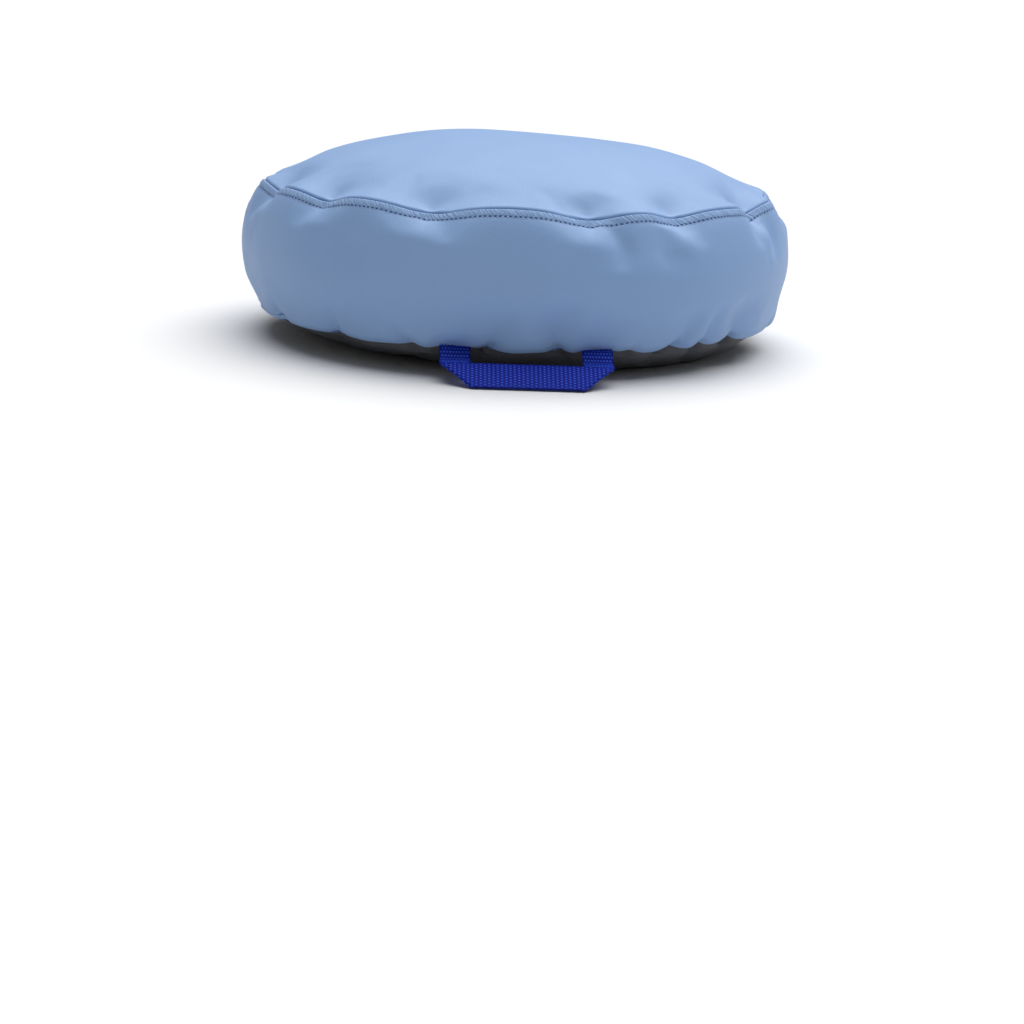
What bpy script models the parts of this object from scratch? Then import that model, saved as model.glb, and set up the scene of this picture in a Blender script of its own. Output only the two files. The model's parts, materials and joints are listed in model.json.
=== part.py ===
"""Round floor cushion: a boxed vinyl cover on a foam core with fibre wadding, a webbing handle sewn into the front of
the bottom seam and a coil zip along the back of it. Metres, +Z up, the origin on the floor under the centre."""

import math

import bmesh
import bpy
from mathutils import Matrix, Vector

# Cover. The two round panels share one seam radius, and the side band stands out between their seams.
SEAM_RADIUS = 0.230
BAND_HEIGHT = 0.110
BULGE = 0.020
CROWN = 0.053
CROWN_POWER = 2.3
SEAM_LIFT = 0.026  # the bottom seam's height above the floor
REST_INSET = 0.080  # from the seam in to the flat that the cushion rests on
REST_POWER = 2.3
VINYL = 0.0012
TURN_DOWN = 0.010  # seam allowance, turned in behind the band
TOPSTITCH_DROP = 0.008

# Filling
FOAM_INSET = 0.008  # from the seam radius in to the foam's side
FOAM_TUCK = 0.004  # from each seam's height to the foam's face
FOAM_EDGE = 0.018
CROWN_PAD_INSET = 0.015
BASE_PAD_INSET = 0.026
SIDE_PAD_INSET = 0.024  # along the band, from each seam to the side pad's end

# Handle
WEBBING = 0.0254
WEBBING_THICK = 0.0016
HAND_GAP = 0.093
LOOP_REACH = 0.050  # from the hinge line to the grip's outer edge
EXIT_SLOPE = math.radians(14)
TAIL_INSIDE = 0.015
HINGE_OUTSIDE = 0.0013  # hinge line beyond the seam, at the strands' inner edges
HANDLE_FLOOR_GAP = 0.0003
HANDLE_BENDS = 8  # flat lengths that the loop's bend is made of
ROUNDING = 0.9  # of half the webbing's thickness, at the ends that turn in the seam

# Zip, centred opposite the handle. Its teeth lie in the seam's slope, facing down and out.
ZIP_ANGLE = math.radians(110)
ZIP_SLOT_MARGIN = 0.001  # beyond the slider, on each side
COIL_WIDTH = 0.0024
COIL_HEIGHT = 0.0020
COIL_INNER = 0.0006  # from the zip's centre line to a coil
TAPE = 0.0006
TAPE_REACH = 0.016
STOP_LENGTH = 0.003
SLIDER_LENGTH = 0.010
SLIDER_PLATE = 0.0009
SLIDER_RIM = 0.0008
POST_HALF = 0.00035
BAIL_HALF = 0.0010
BAIL_LEG = 0.0008
BAIL_REACH = 0.0026
BAIL_WINDOW = 0.0018
PULL_LENGTH = 0.022
PULL_WIDTH = 0.0075
PULL_THICK = 0.0012

# Thread and clearances
THREAD = 0.0004
GAP = 0.0004  # between pieces that touch
RUNNING = 0.0004  # round the sliding and turning pieces

TURN_STEPS = 56
ARC_STEPS = 6
ZIP_STEP = math.radians(3)

# Worked out from the sizes above
TOP_SEAM_Z = SEAM_LIFT + BAND_HEIGHT
BAND_ARC = (BAND_HEIGHT**2 / 4 + BULGE**2) / (2 * BULGE)
BAND_HALF = math.asin(BAND_HEIGHT / 2 / BAND_ARC)
BAND_CENTRE = Vector((SEAM_RADIUS + BULGE - BAND_ARC, SEAM_LIFT + BAND_HEIGHT / 2))
REST_RADIUS = SEAM_RADIUS - REST_INSET
FOAM_RADIUS = SEAM_RADIUS - FOAM_INSET
FOAM_BOTTOM = SEAM_LIFT + FOAM_TUCK
FOAM_TOP = TOP_SEAM_Z - FOAM_TUCK
STRAND_INNER = HAND_GAP / 2
STRAND_OUTER = STRAND_INNER + WEBBING
HINGE_Y = -(math.sqrt(SEAM_RADIUS**2 - STRAND_INNER**2) + HINGE_OUTSIDE)
SEAM_AT_STRANDS = math.sqrt(SEAM_RADIUS**2 - ((STRAND_INNER + STRAND_OUTER) / 2) ** 2)
HINGE_Z = SEAM_LIFT - (-HINGE_Y - SEAM_AT_STRANDS) * math.tan(EXIT_SLOPE)
LAP = VINYL + GAP
ZIP_DEPTH = 2 * LAP + GAP / 2 + TAPE / 2
COIL_OUTER = COIL_INNER + COIL_WIDTH
CHANNEL_HALF = COIL_OUTER + RUNNING
SLIDER_HALF_WIDTH = CHANNEL_HALF + SLIDER_RIM
ZIP_SLOT_HALF = SLIDER_HALF_WIDTH + ZIP_SLOT_MARGIN
PLATE_IN = COIL_HEIGHT / 2 + RUNNING
PLATE_OUT = PLATE_IN + SLIDER_PLATE
PULL_AXIS_OUT = PLATE_OUT + RUNNING + PULL_THICK / 2


# ---- Materials and collections ----


def finish(name, colour, roughness, metallic=0.0):
    material = bpy.data.materials.new(name)
    material.use_nodes = True
    shader = material.node_tree.nodes["Principled BSDF"]
    shader.inputs["Base Color"].default_value = (*colour, 1.0)
    shader.inputs["Roughness"].default_value = roughness
    shader.inputs["Metallic"].default_value = metallic
    return material


def clear_scene():
    for item in list(bpy.data.objects):
        bpy.data.objects.remove(item)


def collection(name, hidden=False):
    made = bpy.data.collections.new(name)
    made.hide_render = hidden
    bpy.context.scene.collection.children.link(made)
    return made


clear_scene()
PARTS = collection("Floor cushion")
CUTTERS = collection("Cutters", hidden=True)
VINYL_BLUE = finish("light blue vinyl", (0.28, 0.43, 0.68), 0.42)
BASE_GREY = finish("charcoal base cloth", (0.035, 0.035, 0.04), 0.8)
WEBBING_BLUE = finish("royal blue webbing", (0.012, 0.03, 0.32), 0.6)
FOAM = finish("foam", (0.85, 0.82, 0.62), 0.9)
WADDING = finish("polyester wadding", (0.9, 0.9, 0.9), 0.95)
SLATE_THREAD = finish("slate blue thread", (0.06, 0.09, 0.2), 0.6)
TAPE_BLACK = finish("black zip tape", (0.02, 0.02, 0.022), 0.8)
NICKEL = finish("nickel zip metal", (0.6, 0.6, 0.58), 0.3, 1.0)


def place(item, material=None, into=PARTS):
    if material:
        item.data.materials.append(material)
    for old in list(item.users_collection):
        old.objects.unlink(item)
    into.objects.link(item)
    if into is CUTTERS:
        item.hide_render = True
        item.display_type = "WIRE"
    return item


# ---- The cover's outline, as (radius, height) points ----


def band_point(run, depth):
    """A point run above the bottom seam along the band, and depth inside its face."""
    angle = run / BAND_ARC - BAND_HALF
    return BAND_CENTRE + (BAND_ARC - depth) * Vector((math.cos(angle), math.sin(angle)))


def band_line(first, last, depth, steps=ARC_STEPS):
    return [band_point(first + (last - first) * i / steps, depth) for i in range(steps + 1)]


def crown_point(radius):
    return Vector((radius, TOP_SEAM_Z + CROWN * (1 - (radius / SEAM_RADIUS) ** CROWN_POWER)))


def crown_line(outer):
    """The top panel's face from its centre out to a radius."""
    return [crown_point(outer * math.sin(math.pi / 2 * i / ARC_STEPS)) for i in range(ARC_STEPS + 1)]


def base_point(radius):
    share = max(radius - REST_RADIUS, 0) / REST_INSET
    return Vector((radius, SEAM_LIFT * share**REST_POWER))


def base_line(outer, steps=ARC_STEPS - 1):
    """The bottom panel's face from a radius in to the flat that it rests on."""
    return [base_point(outer + (REST_RADIUS - outer) * i / steps) for i in range(steps + 1)]


def inset(line, depth):
    """A line moved depth to the right of its direction, which is inwards where it runs down the cover."""
    moved = []
    for i, point in enumerate(line):
        along = (line[min(i + 1, len(line) - 1)] - line[max(i - 1, 0)]).normalized()
        shifted = point + depth * Vector((along.y, -along.x))
        moved.append(Vector((0, shifted.y)) if point.x == 0 else shifted)
    return moved


def ribbon(line, thickness):
    """The section of a flat strip with this centre line."""
    return inset(line, -thickness / 2) + inset(line, thickness / 2)[::-1]


BAND_LENGTH = 2 * BAND_HALF * BAND_ARC


# ---- Solids ----


def turned(name, profile, material, closed):
    """A profile turned round the Z axis. It runs down its outer side and back up its inner side."""
    mesh = bpy.data.meshes.new(name)
    edges = [(i, i + 1) for i in range(len(profile) - 1)]
    if closed:
        edges.append((len(profile) - 1, 0))
    mesh.from_pydata([(p.x, 0, p.y) for p in profile], edges, [])
    item = place(bpy.data.objects.new(name, mesh), material)
    screw = item.modifiers.new("turn", "SCREW")
    screw.steps = screw.render_steps = TURN_STEPS
    screw.use_merge_vertices = True
    screw.merge_threshold = 0.00001
    return item


def on_turn(angle, point):
    return Vector((point.x * math.cos(angle), point.x * math.sin(angle), point.y))


def swept(name, section, start, sweep, material=None, into=PARTS):
    """A closed section swept part of the way round the Z axis."""
    shape = bmesh.new()
    face = shape.faces.new([shape.verts.new(on_turn(start, p)) for p in section])
    steps = max(1, round(sweep / ZIP_STEP))
    geometry = [face, *face.edges, *face.verts]
    bmesh.ops.spin(shape, geom=geometry, cent=(0, 0, 0), axis=(0, 0, 1), angle=sweep, steps=steps)
    return solid(name, shape, material, into)


def solid(name, shape, material=None, into=PARTS):
    """A bmesh made an object, with its faces pointing out."""
    bmesh.ops.recalc_face_normals(shape, faces=shape.faces)
    mesh = bpy.data.meshes.new(name)
    shape.to_mesh(mesh)
    shape.free()
    return place(bpy.data.objects.new(name, mesh), material, into)


def block(name, low, high, to_world=None, material=None, into=CUTTERS):
    """A box between two corners, then moved by a matrix."""
    shape = bmesh.new()
    middle = (Vector(low) + Vector(high)) / 2
    size = Vector(high) - Vector(low)
    matrix = Matrix.Translation(middle) @ Matrix.Diagonal((*size, 1))
    bmesh.ops.create_cube(shape, size=1, matrix=(to_world or Matrix()) @ matrix)
    return solid(name, shape, material, into)


def combine(item, other, operation):
    boolean = item.modifiers.new(other.name, "BOOLEAN")
    boolean.operation = operation
    boolean.object = other


def union(pieces):
    """A bmesh of the pieces joined into one solid. The pieces themselves are used up."""
    for piece in pieces[1:]:
        combine(pieces[0], piece, "UNION")
    bpy.context.view_layer.update()
    mesh = bpy.data.meshes.new_from_object(pieces[0].evaluated_get(bpy.context.evaluated_depsgraph_get()))
    shape = bmesh.new()
    shape.from_mesh(mesh)
    bpy.data.meshes.remove(mesh)
    for piece in pieces:
        bpy.data.objects.remove(piece)
    return shape


def set_origin(item, point):
    """Put a moving piece's origin on its joint's axis, and leave the piece where it is."""
    item.data.transform(Matrix.Translation(-point))
    item.location = point


def ring(name, point, material):
    """A full turn of thread through a (radius, height) point."""
    bpy.ops.mesh.primitive_torus_add(
        major_radius=point.x, minor_radius=THREAD, major_segments=TURN_STEPS, minor_segments=4,
        location=(0, 0, point.y),
    )
    item = bpy.context.object
    item.name = name
    return place(item, material)


def thread_arc(name, point, start, sweep, material):
    """Part of a turn of thread through a (radius, height) point."""
    curve = bpy.data.curves.new(name, "CURVE")
    curve.dimensions = "3D"
    curve.bevel_depth = THREAD
    curve.bevel_resolution = 0
    curve.use_fill_caps = True
    steps = round(TURN_STEPS * sweep / math.tau)
    spline = curve.splines.new("POLY")
    spline.points.add(steps)
    for i, spot in enumerate(spline.points):
        spot.co = (*on_turn(start + sweep * i / steps, point), 1)
    return place(bpy.data.objects.new(name, curve), material)


# ---- Cover panels ----


def make_cover():
    """The three vinyl panels. Each round panel's edge is turned in behind the band."""
    edge = SEAM_RADIUS - LAP * math.cos(BAND_HALF)
    crown = crown_line(SEAM_RADIUS - CROWN_PAD_INSET)
    turned_in = band_line(BAND_LENGTH, BAND_LENGTH - TURN_DOWN, LAP, 1)
    face = [*crown, crown_point(edge), *turned_in]
    top = turned("top_panel", face + inset(face, VINYL)[::-1], VINYL_BLUE, closed=False)

    middle = band_line(BAND_LENGTH - SIDE_PAD_INSET, SIDE_PAD_INSET, 0)
    upper = [band_point(BAND_LENGTH - run, 0) for run in (GAP, TURN_DOWN)]
    lower = [band_point(run, 0) for run in (TURN_DOWN, GAP)]
    face = upper + middle + lower
    band = turned("side_band", face + inset(face, VINYL)[::-1], VINYL_BLUE, closed=True)

    turned_in = band_line(TURN_DOWN, 0, LAP, 1)
    pad = SEAM_RADIUS - BASE_PAD_INSET
    face = [*turned_in, base_point(edge), base_point((edge + pad) / 2), *base_line(pad), Vector((0, 0))]
    base = turned("bottom_panel", inset(face, VINYL)[::-1] + face, BASE_GREY, closed=False)
    return top, band, base


def make_filling():
    """Foam core with three fibre pads: a crown pad, a side pad and a thin base pad."""
    corner = [i * math.pi / 2 / 3 for i in range(4)]
    centre_r = FOAM_RADIUS - FOAM_EDGE
    upper = [
        Vector((centre_r + FOAM_EDGE * math.sin(a), FOAM_TOP - FOAM_EDGE + FOAM_EDGE * math.cos(a)))
        for a in corner
    ]
    lower = [Vector((p.x, FOAM_TOP + FOAM_BOTTOM - p.y)) for p in reversed(upper)]
    profile = [Vector((0, FOAM_TOP)), *upper, *lower, Vector((0, FOAM_BOTTOM))]
    turned("foam_core", profile, FOAM, closed=False)

    dome = inset(crown_line(SEAM_RADIUS - CROWN_PAD_INSET), LAP)
    profile = [*dome, Vector((dome[-1].x, FOAM_TOP + GAP)), Vector((0, FOAM_TOP + GAP))]
    turned("wadding_top", profile, WADDING, closed=False)

    dish = inset([*base_line(SEAM_RADIUS - BASE_PAD_INSET), Vector((0, 0))], LAP)
    profile = [Vector((0, FOAM_BOTTOM - GAP)), Vector((dish[0].x, FOAM_BOTTOM - GAP)), *dish]
    turned("wadding_bottom", profile, WADDING, closed=False)

    outer = band_line(BAND_LENGTH - SIDE_PAD_INSET, SIDE_PAD_INSET, LAP)
    inner_r = FOAM_RADIUS + GAP
    profile = [*outer, Vector((inner_r, outer[-1].y)), Vector((inner_r, outer[0].y))]
    turned("wadding_side", profile, WADDING, closed=True)


# ---- Handle ----


def slope_to_floor():
    """The grip's slope at its outer edge, for a loop that bends evenly from the seam down to the floor."""
    drop = HINGE_Z - WEBBING_THICK / 2 - HANDLE_FLOOR_GAP
    low, high = EXIT_SLOPE + 0.001, math.radians(89)
    for _ in range(40):
        middle = (low + high) / 2
        fall = LOOP_REACH * (math.cos(EXIT_SLOPE) - math.cos(middle)) / (middle - EXIT_SLOPE)
        low, high = (middle, high) if fall < drop else (low, middle)
    return low


def draped(point):
    """A flat loop's point (across, out from the hinge line, above the webbing's middle) on the bent loop."""
    bend = (slope_to_floor() - EXIT_SLOPE) / LOOP_REACH
    slope = EXIT_SLOPE + bend * max(point.y, 0)
    out = (math.sin(slope) - math.sin(EXIT_SLOPE)) / bend + min(point.y, 0) * math.cos(EXIT_SLOPE)
    rise = (math.cos(slope) - math.cos(EXIT_SLOPE)) / bend - min(point.y, 0) * math.sin(EXIT_SLOPE)
    out += point.z * math.sin(slope)
    rise += point.z * math.cos(slope)
    return Vector((point.x, HINGE_Y - out, HINGE_Z + rise))


def slab(name, outline, low, high, into=CUTTERS):
    """A flat outline of (across, out) points given a thickness."""
    shape = bmesh.new()
    face = shape.faces.new([shape.verts.new((x, y, low)) for x, y in outline])
    risen = bmesh.ops.extrude_face_region(shape, geom=[face])["geom"]
    risen = [v for v in risen if isinstance(v, bmesh.types.BMVert)]
    bmesh.ops.translate(shape, verts=risen, vec=(0, 0, high - low))
    return solid(name, shape, into=into)


def make_handle():
    """One length of webbing: two strands come out of the seam, fold over at 45 degrees and meet in the grip."""
    half = WEBBING_THICK / 2
    overlap = WEBBING_THICK / 10
    grip_in = LOOP_REACH - WEBBING
    grip_outline = [
        (-STRAND_OUTER, grip_in),
        (STRAND_OUTER, grip_in),
        (STRAND_INNER, LOOP_REACH),
        (-STRAND_INNER, LOOP_REACH),
    ]
    pieces = [slab("grip", grip_outline, half - overlap, half + WEBBING_THICK)]
    for side in (-1, 1):
        near = [(STRAND_INNER, -half), (STRAND_OUTER, -half)]
        outline = [*near, (STRAND_OUTER, grip_in), (STRAND_INNER, LOOP_REACH)]
        pieces.append(slab(f"strand {side}", [(side * x, y) for x, y in outline], -half, half))
    shape = union(pieces)
    near_edges = [e for e in shape.edges if e.verts[0].co.y < 0 and e.verts[1].co.y < 0]
    ends = [e for e in near_edges if abs(e.verts[0].co.x - e.verts[1].co.x) > half]
    bmesh.ops.bevel(
        shape, geom=ends, offset=half * ROUNDING, segments=2, affect="EDGES", profile=0.5, material=-1
    )
    for i in range(1, HANDLE_BENDS):
        everything = [*shape.verts, *shape.edges, *shape.faces]
        at = (0, LOOP_REACH * i / HANDLE_BENDS, 0)
        bmesh.ops.bisect_plane(shape, geom=everything, dist=1e-7, plane_co=at, plane_no=(0, 1, 0))
    bmesh.ops.triangulate(shape, faces=shape.faces)
    for vertex in shape.verts:
        vertex.co = draped(vertex.co)
    set_origin(solid("handle_webbing", shape, WEBBING_BLUE), Vector((0, HINGE_Y, HINGE_Z)))


def make_tails(cut_from):
    """The webbing's two ends, which pass in through the seam. Each panel in their way gets a slot."""
    end = WEBBING_THICK / 2 + RUNNING
    run_in = (-HINGE_Y - SEAM_AT_STRANDS) + TAIL_INSIDE
    for name, side in (("handle_tail_left", -1), ("handle_tail_right", 1)):
        across = sorted((side * STRAND_INNER, side * STRAND_OUTER))
        low = (across[0], -run_in, -WEBBING_THICK / 2)
        high = (across[1], -end, WEBBING_THICK / 2)
        to_world = Matrix.Translation((0, HINGE_Y, HINGE_Z)) @ Matrix.Rotation(EXIT_SLOPE, 4, "X")
        to_world = to_world @ Matrix.Diagonal((1, -1, 1, 1))
        block(name, low, high, to_world, WEBBING_BLUE, PARTS)
        low = (low[0] - GAP, low[1] - GAP, low[2] - GAP)
        high = (high[0] + GAP, WEBBING_THICK, high[2] + GAP)
        slot = block(f"slot {name}", low, high, to_world)
        for panel in cut_from:
            combine(panel, slot, "DIFFERENCE")


# ---- Zip ----

BAND_TANGENT = Vector((math.sin(BAND_HALF), math.cos(BAND_HALF)))
BASE_TANGENT = Vector((1, REST_POWER * SEAM_LIFT / REST_INSET)).normalized()
ZIP_ACROSS = (BAND_TANGENT + BASE_TANGENT).normalized()
ZIP_OUT = Vector((ZIP_ACROSS.y, -ZIP_ACROSS.x))
ZIP_START = math.pi / 2 - ZIP_ANGLE / 2
ZIP_CENTRE = Vector((SEAM_RADIUS, SEAM_LIFT)) - ZIP_DEPTH * ZIP_OUT
STOP_INSET = GAP / ZIP_CENTRE.x
STOP_SWEEP = STOP_LENGTH / ZIP_CENTRE.x
COIL_INSET = STOP_INSET + STOP_SWEEP + RUNNING / ZIP_CENTRE.x
SLIDER_SWEEP = SLIDER_LENGTH / ZIP_CENTRE.x
SLIDER_REST = ZIP_START + COIL_INSET + SLIDER_SWEEP / 2


def zip_point(across, out):
    """A section point, across the zip towards the band, and out from the middle of its tape."""
    return ZIP_CENTRE + across * ZIP_ACROSS + out * ZIP_OUT


def zip_box(across_low, across_high, out_low, out_high):
    return [
        zip_point(across_low, out_low),
        zip_point(across_high, out_low),
        zip_point(across_high, out_high),
        zip_point(across_low, out_high),
    ]


def zip_frame(angle):
    """The matrix from (along, across, out) at an angle round the cushion to the world."""
    along = (-math.sin(angle), math.cos(angle), 0)
    columns = [Vector(along), on_turn(angle, ZIP_ACROSS), on_turn(angle, ZIP_OUT)]
    matrix = Matrix(columns).transposed().to_4x4()
    matrix.translation = on_turn(angle, ZIP_CENTRE)
    return matrix


def cut_zip_slot(panels):
    reach = ZIP_DEPTH + PLATE_OUT
    section = zip_box(-ZIP_SLOT_HALF, ZIP_SLOT_HALF, -PLATE_OUT, reach)
    slot = swept("zip slot", section, ZIP_START, ZIP_ANGLE, into=CUTTERS)
    for panel in panels:
        combine(panel, slot, "DIFFERENCE")


def make_zip_tapes():
    """Each tape runs from its coil in under the panel that it is sewn to, with the sewing on the panel's face."""
    start = COIL_OUTER + GAP
    flat = [zip_point(start, 0), zip_point(SLIDER_HALF_WIDTH + RUNNING, 0)]
    under_band = [band_point(run, ZIP_DEPTH) for run in (TAPE_REACH, ZIP_SLOT_HALF)]
    section = ribbon([*under_band, *flat[::-1]], TAPE)
    swept("zip_tape_upper", section, ZIP_START + STOP_INSET, ZIP_ANGLE - 2 * STOP_INSET, TAPE_BLACK)

    flat = [zip_point(-start, 0), zip_point(-SLIDER_HALF_WIDTH - RUNNING, 0)]
    inner = SEAM_RADIUS - TAPE_REACH * BASE_TANGENT.x
    under_base = inset([base_point(inner + TAPE_REACH), base_point(inner)], LAP + GAP / 2 + TAPE / 2)
    section = ribbon([*flat, under_base[1]], TAPE)
    swept("zip_tape_lower", section, ZIP_START + STOP_INSET, ZIP_ANGLE - 2 * STOP_INSET, TAPE_BLACK)

    for name, side in (("zip_coil_upper", 1), ("zip_coil_lower", -1)):
        edges = sorted((side * COIL_INNER, side * COIL_OUTER))
        section = zip_box(*edges, -COIL_HEIGHT / 2, COIL_HEIGHT / 2)
        swept(name, section, ZIP_START + COIL_INSET, ZIP_ANGLE - 2 * COIL_INSET, TAPE_BLACK)

    stop = zip_box(-COIL_OUTER, COIL_OUTER, -PLATE_IN, PLATE_IN)
    swept("zip_stop_closed", stop, ZIP_START + STOP_INSET, STOP_SWEEP, NICKEL)
    far_end = ZIP_START + ZIP_ANGLE - STOP_INSET - STOP_SWEEP
    swept("zip_stop_open", stop, far_end, STOP_SWEEP, NICKEL)

    stitch_run = ZIP_SLOT_HALF + 0.0025
    on_band = band_point(stitch_run, -THREAD - GAP)
    thread_arc("zip_stitch_upper", on_band, ZIP_START, ZIP_ANGLE, SLATE_THREAD)
    radius = SEAM_RADIUS - stitch_run * BASE_TANGENT.x
    on_base = inset([base_point(radius + THREAD), base_point(radius)], -THREAD - RUNNING)[1]
    thread_arc("zip_stitch_lower", on_base, ZIP_START, ZIP_ANGLE, SLATE_THREAD)


def make_slider():
    """Two rimmed plates on a post, with a bail for the pull. The rims leave a slot for each tape."""
    half = SLIDER_LENGTH / 2
    width = SLIDER_HALF_WIDTH
    rim_in = TAPE / 2 + RUNNING
    bite = SLIDER_PLATE / 4  # how far joined blocks reach into each other
    blocks = [((-half, -width, PLATE_IN), (half, width, PLATE_OUT))]
    blocks.append(((-half, -width, -PLATE_OUT), (half, width, -PLATE_IN)))
    for side in (-1, 1):
        across = sorted((side * CHANNEL_HALF, side * width))
        for face in (-1, 1):
            out = sorted((face * rim_in, face * (PLATE_IN + bite)))
            blocks.append(((-half, across[0], out[0]), (half, across[1], out[1])))
        along = sorted((side * BAIL_WINDOW, side * BAIL_REACH))
        bail_top = PULL_AXIS_OUT + BAIL_WINDOW / 2 + BAIL_LEG
        blocks.append(((along[0], -BAIL_HALF, PLATE_OUT - bite), (along[1], BAIL_HALF, bail_top)))
    blocks.append(((-BAIL_REACH, -BAIL_HALF, bail_top - BAIL_LEG), (BAIL_REACH, BAIL_HALF, bail_top)))
    post_start = half - SLIDER_LENGTH / 3
    blocks.append(((post_start, -POST_HALF, -PLATE_IN - bite), (half, POST_HALF, PLATE_IN + bite)))
    shape = union([block(f"slider block {i}", low, high) for i, (low, high) in enumerate(blocks)])
    shape.transform(zip_frame(SLIDER_REST))
    return solid("zip_slider", shape, NICKEL)


def make_pull():
    """A flat tab hanging from the bail by the bar at its end."""
    frame = zip_frame(SLIDER_REST) @ Matrix.Translation((0, 0, PULL_AXIS_OUT))
    half = PULL_THICK / 2
    wide = PULL_WIDTH / 2
    pull = block("zip_pull", (-half, -wide, -half), (half, wide, PULL_LENGTH), frame, NICKEL, PARTS)
    hole = BAIL_HALF + BAIL_LEG / 2
    depth = BAIL_REACH + BAIL_LEG + half
    cutter = block("pull hole", (-PULL_THICK, -hole, half), (PULL_THICK, hole, depth), frame)
    combine(pull, cutter, "DIFFERENCE")
    set_origin(pull, frame.translation)


def main():
    top, band, base = make_cover()
    cut_zip_slot((band, base))
    make_tails((band, base))
    make_handle()
    make_filling()
    ring("topstitch_thread", band_point(BAND_LENGTH - TOPSTITCH_DROP, -THREAD - RUNNING), SLATE_THREAD)
    inside = 2 * LAP + THREAD + RUNNING
    ring("seam_thread_top", band_point(BAND_LENGTH - TURN_DOWN / 3, inside), SLATE_THREAD)
    seam_sweep = math.tau - ZIP_ANGLE - 2 * STOP_SWEEP
    seam_start = ZIP_START + ZIP_ANGLE + STOP_SWEEP
    seam_point = band_point(TURN_DOWN * 0.45, inside)
    thread_arc("seam_thread_bottom", seam_point, seam_start, seam_sweep, SLATE_THREAD)
    make_zip_tapes()
    make_slider()
    make_pull()


main()
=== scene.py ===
import json
import math
import random

import bmesh
import bpy
from mathutils import Matrix, Vector, noise
from mathutils.bvhtree import BVHTree
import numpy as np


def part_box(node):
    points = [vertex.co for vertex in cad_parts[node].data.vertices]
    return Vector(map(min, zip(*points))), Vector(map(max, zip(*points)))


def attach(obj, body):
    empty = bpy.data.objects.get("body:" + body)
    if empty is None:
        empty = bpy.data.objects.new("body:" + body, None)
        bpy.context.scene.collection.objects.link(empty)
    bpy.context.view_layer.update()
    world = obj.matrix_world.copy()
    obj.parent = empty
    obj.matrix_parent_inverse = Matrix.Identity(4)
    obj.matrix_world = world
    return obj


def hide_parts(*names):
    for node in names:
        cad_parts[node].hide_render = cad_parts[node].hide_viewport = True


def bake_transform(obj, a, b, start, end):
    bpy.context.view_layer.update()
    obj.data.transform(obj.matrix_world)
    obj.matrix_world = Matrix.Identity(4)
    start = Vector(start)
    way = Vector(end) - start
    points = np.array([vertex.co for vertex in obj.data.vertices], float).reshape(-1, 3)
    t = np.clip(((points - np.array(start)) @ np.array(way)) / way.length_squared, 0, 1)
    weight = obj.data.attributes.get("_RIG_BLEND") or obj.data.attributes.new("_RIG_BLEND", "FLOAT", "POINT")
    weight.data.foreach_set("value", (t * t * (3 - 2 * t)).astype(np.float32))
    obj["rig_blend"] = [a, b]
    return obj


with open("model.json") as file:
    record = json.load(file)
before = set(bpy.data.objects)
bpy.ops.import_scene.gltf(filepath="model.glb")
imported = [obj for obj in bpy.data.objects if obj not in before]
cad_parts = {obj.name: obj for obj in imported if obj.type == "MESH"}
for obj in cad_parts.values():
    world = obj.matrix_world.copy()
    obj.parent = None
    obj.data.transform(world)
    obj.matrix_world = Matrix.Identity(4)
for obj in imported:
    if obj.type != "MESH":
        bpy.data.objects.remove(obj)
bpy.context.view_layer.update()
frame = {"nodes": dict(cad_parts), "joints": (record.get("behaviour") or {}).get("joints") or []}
joints = {joint["name"]: joint for joint in frame["joints"]}


# A linear colour from an sRGB hex value
def hexColour(text):
    shares = [int(text[i : i + 2], 16) / 255 for i in (1, 3, 5)]
    return [s / 12.92 if s <= 0.04045 else ((s + 0.055) / 1.055) ** 2.4 for s in shares] + [1.0]


# One node, with its settings and its input values or links
def addNode(tree, kind, inputs=None, **settings):
    node = tree.nodes.new(kind)
    for name, value in settings.items():
        setattr(node, name, value)
    for name, value in (inputs or {}).items():
        if isinstance(value, bpy.types.NodeSocket):
            tree.links.new(value, node.inputs[name])
        else:
            node.inputs[name].default_value = value
    return node


def newMaterial(name):
    material = bpy.data.materials.new(name)
    material.use_nodes = True
    tree = material.node_tree
    return material, tree, tree.nodes["Principled BSDF"]


def dress(obj, material):
    obj.data.materials.clear()
    obj.data.materials.append(material)
    return obj


# A bmesh made an object, smooth shaded up to an angle
def newPiece(name, shape, material, sharp=math.radians(40)):
    mesh = bpy.data.meshes.new(name)
    shape.to_mesh(mesh)
    shape.free()
    mesh.shade_smooth()
    mesh.set_sharp_from_angle(angle=sharp)
    obj = bpy.data.objects.new(name, mesh)
    bpy.context.scene.collection.objects.link(obj)
    return dress(obj, material)


# The mesh with its modifiers applied
def settle(obj):
    bpy.context.view_layer.update()
    mesh = bpy.data.meshes.new_from_object(obj.evaluated_get(bpy.context.evaluated_depsgraph_get()))
    obj.modifiers.clear()
    old = obj.data
    obj.data = mesh
    bpy.data.meshes.remove(old)


# Vinyl-coated polyester, embossed with a fine leather grain: soft broad highlights, and creases that
# show as shade more than as shine
vinyl = {
    "colour": "#8BABD8",
    "shade": "#83A3D0",
    "roughness": (0.46, 0.58),
    "grain": 0.0011,  # width of one pebble of the grain
    "grainDepth": 0.00015,
    "pore": 0.00035,
    "stitchHole": (0.0012, 0.00070),  # half length and half width of a needle hole
    # the painted shade inside each needle hole
    "paintedHoleShade": "#2B3D66",
    "dragWidth": 0.0019,  # slanting drag lines between the seam and its topstitching
    "dragSlant": -1.3,
}


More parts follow.
